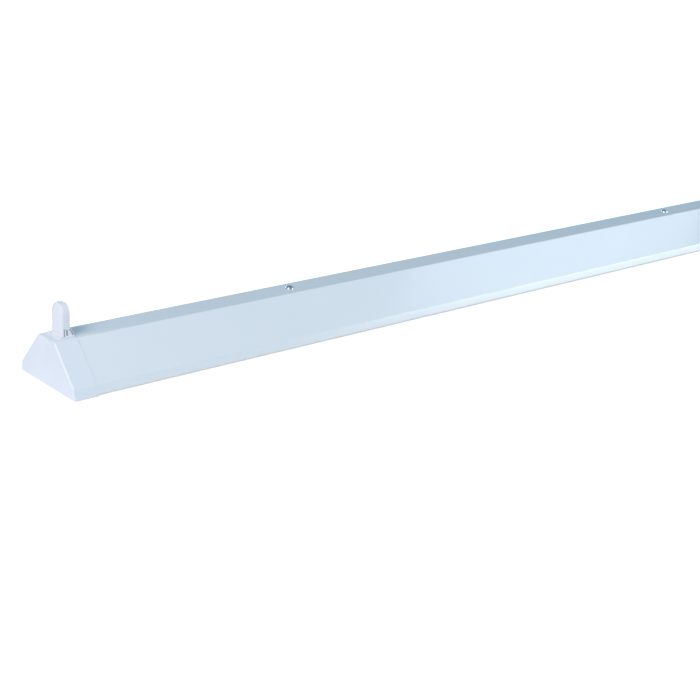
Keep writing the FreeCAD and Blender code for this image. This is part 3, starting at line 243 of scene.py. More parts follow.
def outward(mesh):
    """Point every face outwards."""
    work = bmesh.new()
    work.from_mesh(mesh)
    bmesh.ops.remove_doubles(work, verts=work.verts, dist=2e-7)
    bmesh.ops.recalc_face_normals(work, faces=work.faces)
    poured(work, mesh)


def finish_edges(mesh, name, width, steps=2, angle=32):
    """Break the mesh's hard edges and let its broad faces rule the shading."""
    mesh.shade_smooth()
    carrier = add(name + "_raw", mesh)
    if width > 0:
        edge = carrier.modifiers.new("Edges", "BEVEL")
        edge.width = width
        edge.segments = steps
        edge.limit_method = "ANGLE"
        edge.angle_limit = math.radians(angle)
        edge.use_clamp_overlap = True
    shade = carrier.modifiers.new("Shading", "WEIGHTED_NORMAL")
    shade.mode = "FACE_AREA"
    shade.weight = 60
    return plain(carrier, name)


def settle(name, mesh, body, slot, *nodes):
    """Put a finished mesh on its body, in the place of its nodes."""
    if not mesh.polygons:
        raise RuntimeError(f"{name} came out empty")
    piece = add(name, mesh)
    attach(piece, body)
    if nodes:
        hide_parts(*nodes)
    return piece


def dress(thing, material):
    """Give a piece or a node one material all over."""
    thing.data.materials.clear()
    thing.data.materials.append(material)
    return thing


def softened(node, name, width, steps):
    """A copy of a node with whole flat faces and broken edges."""
    work = bmesh.new()
    work.from_mesh(frame["nodes"][node].data)
    bmesh.ops.remove_doubles(work, verts=work.verts, dist=2e-6)
    bmesh.ops.dissolve_limit(work, angle_limit=math.radians(0.8), verts=work.verts,
                             edges=work.edges)
    mesh = poured(work, bpy.data.meshes.new(name))
    for extra in ("custom_normal", "sharp_edge", "sharp_face"):
        if extra in mesh.attributes:
            mesh.attributes.remove(mesh.attributes[extra])
    return finish_edges(mesh, name, width, steps)


def mouldings(widths):
    """Softened copies of several nodes, each with the width of its broken edges."""
    for node, width in widths.items():
        moulding(node, width)


def moulding(node, width, steps=2):
    """Softened copy of a node, on its body, in its place and in its own slot's finish."""
    name = node + "_part"
    piece = settle(name, softened(node, name, width, steps), BODIES[node], SLOTS[node], node)
    return dress(piece, finish_for(SLOTS[node]))


# Node trees

class Nodes:
    """A node tree, with short ways to add and link nodes."""

    def __init__(self, tree):
        self.tree = tree

    def node(self, kind, feeds=(), out=0, **settings):
        """Add a node, feed its inputs and give back one of its outputs."""
        made = self.tree.nodes.new(kind)
        for key, value in settings.items():
            setattr(made, key, value)
        for socket, feed in dict(feeds).items():
            for one in feed if isinstance(feed, list) else [feed]:
                if isinstance(one, bpy.types.NodeSocket):
                    self.tree.links.new(one, made.inputs[socket])
                else:
                    made.inputs[socket].default_value = one
        return made.outputs[out]

    def sum(self, operation, first, second):
        return self.node("ShaderNodeMath", {0: first, 1: second}, operation=operation)

    def times(self, first, second):
        return self.sum("MULTIPLY", first, second)


class Tree(Nodes):
    """A geometry tree with named inputs."""

    def __init__(self, name, **sizes):
        super().__init__(bpy.data.node_groups.new(name, "GeometryNodeTree"))
        face = self.tree.interface
        face.new_socket("Geometry", in_out="INPUT", socket_type="NodeSocketGeometry")
        for label, default in sizes.items():
            named = isinstance(default, str)      # "object" or "material", without a default
            kind = default if named else type(default).__name__
            socket = face.new_socket(label.replace("_", " ").capitalize(), in_out="INPUT",
                                     socket_type="NodeSocket" + kind.capitalize())
            if not named:
                socket.default_value = default
        face.new_socket("Geometry", in_out="OUTPUT", socket_type="NodeSocketGeometry")
        self.start = self.tree.nodes.new("NodeGroupInput").outputs
        self.end = self.tree.nodes.new("NodeGroupOutput")

    def triple(self, x=0.0, y=0.0, z=0.0):
        return self.node("ShaderNodeCombineXYZ", {0: x, 1: y, 2: z})

    def stored(self, name):
        """A value that the source's points carry."""
        return self.node("GeometryNodeInputNamedAttribute", {"Name": name}, data_type="FLOAT")

    def spread(self):
        """The x, y and z of each point."""
        place = self.node("GeometryNodeInputPosition")
        return self.node("ShaderNodeSeparateXYZ", {0: place}).node.outputs

    def rounded(self):
        """The source's edges as lines, with an arc at each bend."""
        line = self.node("GeometryNodeMeshToCurve", {0: self.start["Geometry"]})
        return self.node("GeometryNodeFilletCurve",
                         {"Curve": line, "Count": self.start["Bend steps"],
                          "Radius": self.stored("bend")}, mode="POLY")

    def shape_of(self, label):
        return self.node("GeometryNodeObjectInfo", {0: self.start[label]}, out="Geometry")

    def without(self, body, cutter):
        return self.node("GeometryNodeMeshBoolean", {0: body, 1: cutter},
                         operation="DIFFERENCE", solver="EXACT")

    def finish(self, geometry):
        """End the tree in real geometry with its material, and give the tree back."""
        real = self.node("GeometryNodeRealizeInstances", {0: geometry})
        skin = self.node("GeometryNodeSetMaterial", {0: real, "Material": self.start["Material"]})
        self.tree.links.new(skin, self.end.inputs[0])
        return self

    def grow(self, name, source, **values):
        """Run the tree on a source mesh and return the result as a plain mesh."""
        carrier = add(name + "_source", source)
        modifier = carrier.modifiers.new("Build", "NODES")
        modifier.node_group = self.tree
        wanted = {key.replace("_", " ").capitalize(): value for key, value in values.items()}
        for item in self.tree.interface.items_tree:
            if item.in_out == "INPUT" and item.name in wanted:
                modifier[item.identifier] = wanted.pop(item.name)
        if wanted:
            raise RuntimeError(f"{name}: the tree has no input {sorted(wanted)}")
        mesh = plain(carrier, name)
        outward(mesh)
        return mesh


def chain(name, runs, closed=False):
    """Edges through points, each point with the radius of its bend in millimetres."""
    mesh = bpy.data.meshes.new(name)
    points, edges, bends = [], [], []
    for run in runs:
        first = len(points)
        points += [[value * MM for value in point] for point, bend in run]
        bends += [bend * MM for point, bend in run]
        edges += [(first + i, first + i + 1) for i in range(len(run) - 1)]
        if closed:
            edges.append((len(points) - 1, first))
    mesh.from_pydata(points, edges, [])
    mesh.attributes.new("bend", "FLOAT", "POINT").data.foreach_set("value", bends)
    return mesh


def spots(name, places, turns=None):
    """Loose points with a turn about Z for what stands on them."""
    mesh = bpy.data.meshes.new(name)
    mesh.from_pydata([tuple(place) for place in places], [], [])
    turns = turns or [0.0] * len(places)
    mesh.attributes.new("turn", "FLOAT", "POINT").data.foreach_set("value", turns)
    return mesh


@cache
def folded_tree():
    """A closed outline with rounded bends, drawn out along X, cut, and set at each place."""
    tree = Tree("Folded section", length=1.0, bend_steps=7, cutters="object", places="object",
                material="material")
    face = tree.node("GeometryNodeFillCurve", {0: tree.rounded()}, mode="NGONS")
    drawn = tree.node("GeometryNodeExtrudeMesh",
                      {"Mesh": face, "Offset": tree.triple(z=tree.start["Length"]),
                       "Offset Scale": 1.0, "Individual": False}, mode="FACES")
    back = tree.node("GeometryNodeFlipFaces", {0: face})
    closed = tree.node("GeometryNodeJoinGeometry", {0: [drawn, back]})
    whole = tree.node("GeometryNodeMergeByDistance", {0: closed, "Distance": 1e-6})
    half = tree.times(tree.start["Length"], -0.5)
    laid = tree.node("GeometryNodeTransform",
                     {0: whole, "Translation": tree.triple(x=half),
                      "Rotation": (math.pi / 2, 0.0, math.pi / 2)})
    cut = tree.without(laid, tree.shape_of("Cutters"))
    return tree.finish(tree.node("GeometryNodeInstanceOnPoints",
                                 {"Points": tree.shape_of("Places"), "Instance": cut}))


def upright(tree, sides, radius, height, low):
    """A cylinder that stands on a level, for a tree."""
    rod = tree.node("GeometryNodeMeshCylinder",
                    {"Vertices": sides, "Radius": radius, "Depth": height})
    middle = tree.sum("ADD", low, tree.times(height, 0.5))
    return tree.node("GeometryNodeTransform", {0: rod, "Translation": tree.triple(z=middle)})


def slotted(tree, head, radius, height, width, depth):
    """A head with a slot across its crown, for a tree."""
    bar = tree.node("GeometryNodeMeshCube",
                    {"Size": tree.triple(tree.times(radius, 3.0), width,
                                         tree.times(depth, 2.0))})
    lifted = tree.node("GeometryNodeTransform", {0: bar, "Translation": tree.triple(z=height)})
    return tree.without(head, lifted)


def standing(tree, screw):
    """One screw at each point of the source, turned as its point says."""
    spin = tree.node("FunctionNodeEulerToRotation", {0: tree.triple(z=tree.stored("turn"))})
    return tree.node("GeometryNodeInstanceOnPoints",
                     {"Points": tree.start["Geometry"], "Instance": screw, "Rotation": spin})


@cache
def fixing_screw_tree():
    """Flat round heads with a straight slot over plain shanks."""
    tree = Tree("Fixing screws", head=0.0036, height=0.0022, slot=0.0009, shank=0.0019,
                reach=0.004, material="material")
    size = tree.start
    head = upright(tree, 32, size["Head"], size["Height"], 0.0)
    head = slotted(tree, head, size["Head"], size["Height"], size["Slot"], size["Slot"])
    shank = upright(tree, 20, size["Shank"], size["Reach"],
                    tree.times(size["Reach"], -1.0))
    return tree.finish(standing(tree, tree.node("GeometryNodeJoinGeometry", {0: [head, shank]})))


@cache
def domed_head_tree():
    """A half-round dome with a slot, flat below."""
    tree = Tree("Domed heads", head=0.0045, height=0.0028, slot=0.0012, depth=0.0012,
                material="material")
    size = tree.start
    ball = tree.node("GeometryNodeMeshUVSphere", {"Segments": 56, "Rings": 36, "Radius": 1.0})
    x, y, z = tree.spread()
    dome = tree.node("GeometryNodeSetPosition", {0: ball, "Position": tree.triple(
        tree.times(x, size["Head"]), tree.times(y, size["Head"]),
        tree.times(tree.sum("MAXIMUM", z, 0.0), size["Height"]))})
    head = slotted(tree, dome, size["Head"], size["Height"], size["Slot"], size["Depth"])
    return tree.finish(standing(tree, head))


@cache
def thread_tree():
    """A threaded shank below each point: a rod whose radius follows a helix."""
    tree = Tree("Threaded shanks", radius=0.00245, depth=0.00038, pitch=0.0008, reach=0.012,
                material="material")
    size = tree.start
    rod = tree.node("GeometryNodeMeshCylinder",
                    {"Vertices": 28, "Side Segments": 150, "Radius": 1.0, "Depth": size["Reach"]})
    x, y, z = tree.spread()
    angle = tree.sum("DIVIDE", tree.sum("ARCTAN2", y, x), 2 * math.pi)
    phase = tree.sum("ADD", tree.sum("DIVIDE", z, size["Pitch"]), angle)
    ridge = tree.sum("PINGPONG", phase, 0.5)
    groove = tree.times(tree.times(ridge, 2.0), size["Depth"])
    radius = tree.sum("SUBTRACT", size["Radius"], groove)
    drop = tree.times(size["Reach"], -0.5)
    shape = tree.node("GeometryNodeSetPosition", {0: rod, "Position": tree.triple(
        tree.times(x, radius), tree.times(y, radius),
        tree.sum("ADD", z, drop))})
    return tree.finish(standing(tree, shape))


@cache
def lead_tree():
    """Round leads along runs joined by arcs."""
    tree = Tree("Leads", radius=0.0011, sides=16, bend_steps=9, material="material")
    even = tree.node("GeometryNodeSetCurveRadius", {0: tree.rounded(), "Radius": 1.0})
    rim = tree.node("GeometryNodeCurvePrimitiveCircle",
                    {"Resolution": tree.start["Sides"], "Radius": tree.start["Radius"]})
    side = tree.sum("DIVIDE", tree.spread()[0], tree.start["Radius"])
    marked = tree.node("GeometryNodeStoreNamedAttribute", {0: rim, "Name": "side", "Value": side},
                       data_type="FLOAT", domain="POINT")
    return tree.finish(tree.node("GeometryNodeCurveToMesh",
                                 {"Curve": even, "Profile Curve": marked, "Fill Caps": True}))


def cutters(name, rounds=(), boxes=()):
    """Cutting bodies in mm: rounds as (x, y, z, radius, depth, axis), boxes as two corners."""
    work = bmesh.new()
    for x, y, z, radius, depth, axis in rounds:
        turn = Matrix.Rotation(math.pi / 2, 4, "Y") if axis == "X" else Matrix.Identity(4)
        made = bmesh.ops.create_cone(work, cap_ends=True, segments=40, radius1=radius * MM,
                                     radius2=radius * MM, depth=depth * MM, matrix=turn)
        bmesh.ops.translate(work, verts=made["verts"], vec=Vector((x, y, z)) * MM)
    for low, high in boxes:
        low, high = Vector(low) * MM, Vector(high) * MM
        made = bmesh.ops.create_cube(work, size=1.0)
        bmesh.ops.scale(work, verts=made["verts"], vec=high - low)
        bmesh.ops.translate(work, verts=made["verts"], vec=(low + high) / 2)
    bmesh.ops.recalc_face_normals(work, faces=work.faces)
    return add(name, poured(work, bpy.data.meshes.new(name)))


def folded(name, outline, span, cutting, places, material, steps, edge):
    """A folded or drawn section, cut and set at its places, all in millimetres."""
    stands = add(name + "_places", spots(name + "_spots", [Vector(p) * MM for p in places]))
    mesh = folded_tree().grow(name, chain(name + "_line", [outline], closed=True),
                              length=span * MM, bend_steps=steps, cutters=cutting,
                              places=stands, material=material)
    for helper in (cutting, stands):
        bpy.data.objects.remove(helper)
    return finish_edges(mesh, name, edge, steps=1, angle=40)


# Shader groups

class Shader(Nodes):
    """A node tree for shading."""

    def noise(self, vector, scale, detail=2.0, rough=0.5):
        return self.node("ShaderNodeTexNoise", {"Vector": vector, "Scale": scale, "Detail": detail,
                                                "Roughness": rough})

    def ramp(self, value, start, stop, low=0.0, high=1.0):
        """Low up to the start, high from the stop on, and even between."""
        return self.node("ShaderNodeMapRange", {"Value": value, "From Min": start,
                                                "From Max": stop, "To Min": low, "To Max": high})

    def stretched(self, vector, share):
        """Places squeezed along X, which draws a pattern out that way."""
        return self.node("ShaderNodeVectorMath", {0: vector, 1: (share, 1.0, 1.0)},
                         operation="MULTIPLY")


@cache
def shader_group(kind):
    """A shared effect with named inputs and outputs, built once."""
    name, build, inputs = GROUPS[kind]
    group = bpy.data.node_groups.new(name, "ShaderNodeTree")
    for label, default in inputs.items():
        shape = "NodeSocketVector" if default is None else "NodeSocketFloat"
        socket = group.interface.new_socket(label, in_out="INPUT", socket_type=shape)
        if default is not None:
            socket.default_value = default
    results = build(Shader(group), group.nodes.new("NodeGroupInput").outputs)
    for label in results:
        group.interface.new_socket(label, in_out="OUTPUT", socket_type="NodeSocketFloat")
    end = group.nodes.new("NodeGroupOutput").inputs
    for label, result in results.items():
        group.links.new(result, end[label])
    return group


def sprayed(work, given):
    """Sprayed gloss paint: peel in the skin, slow drift in tone and faint wiping marks."""
    peel = work.noise(given["Vector"], given["Peel"], 1.5, 0.45)
    drift = work.noise(given["Vector"], given["Drift"], 2.0, 0.5)
    wipes = work.noise(work.stretched(given["Vector"], 0.12), 240.0, 4.0, 0.6)
    return {"Skin": peel, "Tone": drift, "Marks": wipes}


def moulded(work, given):
    """Moulded plastic: a fine grain, flow marks and a little mottling."""
    grain = work.noise(given["Vector"], given["Grain"], 3.0, 0.55)
    flow = work.noise(given["Vector"], given["Flow"], 3.0, 0.5)
    return {"Skin": grain, "Tone": flow}


def drawn(work, given):
    """Rolled or drawn metal: fine lines along X over a slow drift in tone."""
    lines = work.noise(work.stretched(given["Vector"], 0.04), given["Lines"], 5.0, 0.65)
    drift = work.noise(given["Vector"], given["Drift"], 3.0, 0.55)
    return {"Skin": lines, "Tone": drift}


def settled_dust(work, given):
    """Dust that gathers on what faces up, in patches."""
    normal = work.node("ShaderNodeNewGeometry", out="Normal")
    up = work.node("ShaderNodeSeparateXYZ", {0: normal}, out=2)
    patches = work.noise(given["Vector"], given["Patches"], 6.0, 0.7)
    spread = work.times(work.ramp(up, 0.5, 1.0), work.ramp(patches, 0.42, 0.75))
    return {"Dust": work.times(spread, given["Amount"])}


GROUPS = {
    "paint": ("Sprayed paint", sprayed, {"Vector": None, "Peel": 900.0, "Drift": 4.0}),
    "plastic": ("Moulded plastic", moulded, {"Vector": None, "Grain": 2600.0, "Flow": 22.0}),
    "metal": ("Drawn metal", drawn, {"Vector": None, "Lines": 2600.0, "Drift": 60.0}),
    "dust": ("Settled dust", settled_dust, {"Vector": None, "Patches": 40.0, "Amount": 0.2}),
}


# Materials

def cleared(owner):
    """The shading tools for a material or a world whose first nodes are gone."""
    owner.use_nodes = True
    owner.node_tree.nodes.clear()
    return Shader(owner.node_tree)


def blank(name):
    """A material with only its output left, and the shading tools for it."""
    made = bpy.data.materials.new(name)
    work = cleared(made)
    end = work.tree.nodes.new("ShaderNodeOutputMaterial")
    return made, work, end, work.node("ShaderNodeTexCoord", out="Object")


def shared(work, kind, place, **values):
    """One of the shared effects, placed in a material."""
    node = work.tree.nodes.new("ShaderNodeGroup")
    node.node_tree = shader_group(kind)
    work.tree.links.new(place, node.inputs["Vector"])
    for label, value in values.items():
        node.inputs[label].default_value = value
    return node.outputs


def tinted(tone, factor):
    return tuple(min(1.0, part * factor) for part in tone) + (1.0,)


def mix(work, factor, first, second):
    return work.node("ShaderNodeMix", {"Factor": factor, 6: first, 7: second}, out=2,
                     data_type="RGBA")


def coat_of(kind, slot, tone, rough, bump, dust, spread, depth=0.02, metallic=0.0, coat=0.0,
            coat_rough=0.08, glow=0.0, stripe=None, **values):
    """A finish: shared skin and dust over one tone, with a stripe down both sides of a lead."""
    if kind == "metal":
        metallic = 1.0
    made, work, end, place = blank(slot)
    skin = shared(work, kind, place, **values)
    grime = shared(work, "dust", place, Amount=dust)
    base = mix(work, work.ramp(skin["Tone"], *NOISE_SPAN), tinted(tone, 1.0 - spread),
               tinted(tone, 1.0 + spread * 0.4))
    if stripe:
        side = work.node("ShaderNodeAttribute", out="Fac", attribute_name="side")
        band = work.ramp(work.sum("ABSOLUTE", side, 0.0), 0.6, 0.68)
        base = mix(work, band, base, stripe + (1.0,))
    dusty = mix(work, grime["Dust"], base, DUST_TONE)
    marks = skin["Marks"] if "Marks" in skin else skin["Skin"]
    roughness = work.ramp(marks, *NOISE_SPAN, max(0.02, rough * 0.85), min(1.0, rough * 1.18))
    roughness = work.sum("ADD", roughness, work.times(grime["Dust"], 0.35))
    relief = work.node("ShaderNodeBump", {"Strength": bump, "Distance": depth * MM,
                                          "Height": skin["Skin"]})
    shader = work.node("ShaderNodeBsdfPrincipled", {
        "Base Color": dusty, "Roughness": roughness, "Normal": relief, "Metallic": metallic,
        "IOR": 1.5, "Coat Weight": coat, "Coat Roughness": coat_rough,
        "Subsurface Weight": glow, "Subsurface Radius": (1.0, 1.0, 1.0), "Subsurface Scale": 0.006})
    work.tree.links.new(shader, end.inputs["Surface"])
    return made


NOISE_SPAN = (0.3, 0.7)          # levels of a noise that count as none and full
DUST_TONE = (0.62, 0.60, 0.56, 1.0)
EARTH_STRIPE = (0.80, 0.56, 0.02)

# Each slot's effect, roughness, relief, dust and drift in tone, and what sets it apart

LOOKS = {
    "spine_paint": ("paint", 0.22, 0.12, 0.04, 0.02, dict(depth=0.012, coat=0.35, coat_rough=0.06)),
    "tray_paint": ("paint", 0.34, 0.16, 0.16, 0.03, dict()),
    "ballast_steel": ("paint", 0.42, 0.25, 0.12, 0.05, dict(metallic=0.6, Peel=1400.0)),
    "cap_plastic": ("plastic", 0.24, 0.10, 0.04, 0.02, dict(depth=0.012)),
    "holder_plastic": ("plastic", 0.2, 0.08, 0.03, 0.02, dict(depth=0.01)),
    "back_plastic": ("plastic", 0.18, 0.06, 0.02, 0.02, dict(depth=0.01)),
    "rotor_plastic": ("plastic", 0.22, 0.06, 0.02, 0.02, dict(depth=0.01)),
    "block_plastic": ("plastic", 0.4, 0.14, 0.1, 0.04, dict()),
    "push_in_plastic": ("plastic", 0.42, 0.14, 0.1, 0.05, dict()),
    "capacitor_plastic": ("plastic", 0.3, 0.1, 0.1, 0.1, dict()),
    "retainer_nylon": ("plastic", 0.32, 0.08, 0.02, 0.05, dict(glow=0.4)),
    "clip_nylon": ("plastic", 0.34, 0.1, 0.1, 0.05, dict(glow=0.3)),
    "grommet_rubber": ("plastic", 0.62, 0.3, 0.2, 0.15, dict(Grain=1600.0)),
    "board_laminate": ("plastic", 0.45, 0.2, 0.12, 0.12, dict(Flow=90.0)),
    "choke_ferrite": ("plastic", 0.7, 0.4, 0.12, 0.2, dict(Grain=900.0)),
    "post_steel": ("metal", 0.34, 0.25, 0.08, 0.12, dict()),
    "nut_steel": ("metal", 0.3, 0.15, 0.05, 0.12, dict()),
    "cover_screw_steel": ("metal", 0.12, 0.05, 0.0, 0.08, dict(depth=0.008, Lines=1800.0)),
    "fixing_steel": ("metal", 0.28, 0.15, 0.05, 0.15, dict()),
    "terminal_brass": ("metal", 0.3, 0.2, 0.05, 0.15, dict()),
    "tag_brass": ("metal", 0.34, 0.15, 0.05, 0.18, dict()),
    "contact_brass": ("metal", 0.28, 0.2, 0.02, 0.15, dict()),
    "earth_insulation": ("plastic", 0.36, 0.12, 0.08, 0.1, dict(Flow=60.0, stripe=EARTH_STRIPE)),
}
INSULATION = ("plastic", 0.36, 0.12, 0.08, 0.1, dict(Flow=60.0))


@cache
def finish_for(slot):
    """The slot's material, made once."""
    colours = bpy.context.scene.tube_light_colours
    chosen = {"spine_paint": colours.spine, "cap_plastic": colours.cap,
              "holder_plastic": colours.holder}
    kind, *levels, more = LOOKS.get(slot, INSULATION)
    return coat_of(kind, slot, tuple(chosen.get(slot, COLOURS[slot])), *levels, **more)


# Operators, one for each piece or group of like pieces

class Builder:
    """What every operator here shares."""
    bl_options = {"REGISTER", "UNDO"}

    def execute(self, context):
        self.make(context.scene)
        return {"FINISHED"}


def half_width(sizes):
    """Half the section's width at the mounting face, which the cover stops just short of."""
    return round(spine_high.y / MM + spine_low.z / MM * sizes.lip_lean / sizes.lip_height, 2)


def trapezoid(sizes, inset, foot):
    """Corners of the section on its right side, from the foot up, in millimetres."""
    lip, lean = sizes.lip_height / MM, sizes.lip_lean / MM
    half, crown = half_width(sizes), spine_high.z / MM
    top = sizes.top_width / MM / 2
    run, rise = half - lean - top, crown - lip
    lip_shift = inset * math.hypot(lip, lean) / lip
    side_shift = inset * math.hypot(rise, run) / rise
    crease = lip + (lip_shift - side_shift) / (run / rise - lean / lip)

    def lip_at(level):
        return half - lean * level / lip - lip_shift

    def flank_at(level):
        return half - lean - (level - lip) * run / rise - side_shift

    under = crown - inset
    return [(lip_at(foot), foot), (lip_at(crease), crease), (flank_at(under), under)]


def both_ways(points):
    """The points with their bends, then their mirror images back again."""
    return points + [((-x, y, z), bend) for (x, y, z), bend in reversed(points)]


class TUBELIGHT_OT_spine(Builder, bpy.types.Operator):
    """Fold the cover spine from one sheet"""
    bl_idname = "tubelight.spine"
    bl_label = "Cover spine"

    def make(self, scene):
        sizes = scene.tube_light_sheet
        gauge, bend = sizes.cover_gauge / MM, sizes.bend / MM
        lift = spine_low.z / MM
        edge = round(half_width(sizes) - sizes.return_width / MM, 1)
        outer = [((x, z, 0), bend + gauge) for x, z in trapezoid(sizes, 0.0, lift)]
        inner = [((x, z, 0), bend) for x, z in trapezoid(sizes, gauge, lift + gauge)]
        outside = both_ways([((edge, lift, 0), 0.0)] + outer)
        inside = both_ways([((edge, lift + gauge, 0), 0.0)] + inner)
        outline = outside + inside[::-1]
        reach = spine_high.x / MM
        top = spine_high.z / MM
        rounds = [(way * POST_PLACE, 0, top - gauge / 2, COVER_HOLE, COVER_CUT, "Z")
                  for way in SIDES.values()]
        boxes = []
        for end in (-1, 1):
            for side in (-1, 1):
                xs = sorted((end * (reach - NOTCH_REACH), end * (reach + OVERCUT)))
                ys = sorted((side * (edge - OVERCUT), side * NOTCH_SIDE))
                boxes.append(((xs[0], ys[0], lift - OVERCUT),
                              (xs[1], ys[1], lift + gauge + bend)))
        mesh = folded("spine_sheet", outline, 2 * reach, cutters("spine_cuts", rounds, boxes),
                      [(0, 0, 0)], finish_for("spine_paint"), sizes.bend_steps,
                      scene.tube_light_moulded.sheet_edge)
        settle("spine_sheet", mesh, "cover", "spine_paint", "cover_spine")


class TUBELIGHT_OT_tray(Builder, bpy.types.Operator):
    """Copy the gear tray, with its slots and cable entry, and break its edges"""
    bl_idname = "tubelight.tray"
    bl_label = "Gear tray"

    def make(self, scene):
        moulding("gear_tray", scene.tube_light_moulded.sheet_edge, 1)


class TUBELIGHT_OT_posts(Builder, bpy.types.Operator):
    """Bend the two cover posts and set their nuts"""
    bl_idname = "tubelight.posts"
    bl_label = "Cover posts"

    def make(self, scene):
        sizes, edges = scene.tube_light_sheet, scene.tube_light_moulded
        gauge, bend = sizes.post_gauge / MM, sizes.bend / MM
        low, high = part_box("cover_post_right")
        floor, top = low.z / MM, high.z / MM
        foot, leg = high.y / MM, POST_LEG
        outline = both_ways([((foot, floor, 0), 0.0), ((foot, floor + gauge, 0), 0.0),
                             ((leg, floor + gauge, 0), POST_FOOT_BEND),
                             ((leg, top, 0), bend + gauge)])
        under = [((-leg + gauge, floor, 0), 0.0), ((-leg + gauge, top - gauge, 0), bend),
                 ((leg - gauge, top - gauge, 0), bend), ((leg - gauge, floor, 0), 0.0)]
        mesh = folded("post_straps", outline + under, (high.x - low.x) / MM,
                      cutters("post_cuts", [(0, 0, top - gauge / 2, NUT_HOLE, NUT_CUT, "Z")]),
                      [(way * POST_PLACE, 0, 0) for way in SIDES.values()],
                      finish_for("post_steel"), sizes.bend_steps, edges.steel_edge)
        settle("post_straps", mesh, "fixture", "post_steel", "cover_post_left", "cover_post_right")
        moulding("post_nuts", edges.small_edge)


class TUBELIGHT_OT_caps(Builder, bpy.types.Operator):
    """Mould the two end caps"""
    bl_idname = "tubelight.caps"
    bl_label = "End caps"

    def make(self, scene):
        for side in SIDES:
            moulding("end_cap_" + side, scene.tube_light_moulded.cap_edge)


class TUBELIGHT_OT_holders(Builder, bpy.types.Operator):
    """Mould the lampholders, their back plates and rotors, and fit the contacts"""
    bl_idname = "tubelight.holders"
    bl_label = "Lampholders"

    def make(self, scene):
        edges = scene.tube_light_moulded
        for side in SIDES:
            moulding("lampholder_housing_" + side, edges.holder_edge)
            moulding("lampholder_back_" + side, edges.holder_edge * 0.8)
            moulding("lampholder_rotor_" + side, edges.holder_edge * 0.7)
            moulding("lampholder_contacts_" + side, edges.contact_edge, 1)


class TUBELIGHT_OT_cover_screws(Builder, bpy.types.Operator):
    """Turn the two domed cover screws and set their retaining washers"""
    bl_idname = "tubelight.cover_screws"
    bl_label = "Cover screws"

    def make(self, scene):
        sizes, edges = scene.tube_light_screws, scene.tube_light_moulded
        steel = finish_for("cover_screw_steel")
        seat = screw_high.z - sizes.head_height
        for side, way in SIDES.items():
            node = "cover_screw_" + side
            low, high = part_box(node)
            place = Vector(((low.x + high.x) / 2, 0.0, seat))
            stand = spots(node + "_spot", [place], [0.5 * way])
            head = domed_head_tree().grow(node + "_head", stand, head=sizes.head_radius,
                                          height=sizes.head_height, slot=sizes.slot_width,
                                          depth=sizes.slot_depth, material=steel)
            head = finish_edges(head, node + "_head", edges.steel_edge, 2, 40)
            settle(node + "_head", head, BODIES[node], SLOTS[node], node)
            shank = thread_tree().grow(node + "_shank", spots(node + "_base", [place]),
                                       radius=sizes.shank_radius, depth=sizes.thread_depth,
                                       pitch=sizes.thread_pitch, reach=seat - low.z,
                                       material=steel)
            shank.shade_smooth()
            settle(node + "_shank", shank, BODIES[node], SLOTS[node])
            moulding("screw_retainer_" + side, edges.small_edge)


class TUBELIGHT_OT_fixing_screws(Builder, bpy.types.Operator):
    """Set the slotted screws that fix the caps, the terminal block, the ballast and the earth"""
    bl_idname = "tubelight.fixing_screws"
    bl_label = "Fixing screws"

    def make(self, scene):
        sizes, edges = scene.tube_light_screws, scene.tube_light_moulded
        for node, places in FIXING_PLACES.items():
            low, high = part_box(node)
            seat = high.z - sizes.fixing_height
            turns = [0.4 + 0.9 * index for index in range(len(places))]
            name = node + "_set"
            seats = [Vector((x * MM, y * MM, seat)) for x, y in places]
            mesh = fixing_screw_tree().grow(name, spots(name + "_spots", seats, turns),
                                            head=sizes.fixing_head, height=sizes.fixing_height,
                                            slot=sizes.fixing_slot, shank=sizes.fixing_radius,
                                            reach=seat - low.z, material=finish_for(SLOTS[node]))
            mesh = finish_edges(mesh, name, edges.steel_edge, 1, 40)
            settle(name, mesh, BODIES[node], SLOTS[node], node)


class TUBELIGHT_OT_terminals(Builder, bpy.types.Operator):
    """Mould the mains terminal block and fit its cages and clamp screws, the tag and the grommet"""
    bl_idname = "tubelight.terminals"
    bl_label = "Mains terminals"

    def make(self, scene):
        edge = scene.tube_light_moulded.small_edge
        mouldings({"mains_terminal_block": edge, "terminal_cages": edge / 2,
                   "terminal_screws": edge / 2, "earth_tag": edge / 2,
                   "cable_grommet": edge * 1.5})


class TUBELIGHT_OT_ballast(Builder, bpy.types.Operator):
    """Press the ballast's case and lid and fit its board and terminals"""
    bl_idname = "tubelight.ballast"
    bl_label = "Ballast"

    def make(self, scene):
        edge = scene.tube_light_moulded.small_edge
        mouldings({"ballast_case": edge / 2, "ballast_cover": edge / 2,
                   "ballast_board": edge / 2, "ballast_choke": edge, "ballast_capacitors": edge,
                   "ballast_input_terminal": edge, "ballast_output_terminal": edge})


def bent(points):
    """A route with the radius that the tangent arcs take at each corner."""
    corners = [Vector(point) for point in points]
    run = [(points[0], 0.0)]
    for before, corner, after in zip(corners, corners[1:], corners[2:]):
        back, ahead = before - corner, after - corner
        reach = ARC_SHARE * min(back.length, ahead.length)
        run.append((tuple(corner), reach / math.tan((math.pi - back.angle(ahead)) / 2)))
    return run + [(points[-1], 0.0)]


def holder_end(way, lane, across):
    """Last points of a lamp lead: out of its lane and up into the lampholder's plug."""
    middle = way * HOLDER_PLACE
    return [(middle - way * 62, lane, LANE_LEVEL), (middle - way * 30, lane / 3, 6.1),
            (middle - way * 4, across, 12.1), (middle, across, 27.0), (middle, across, 42.4)]


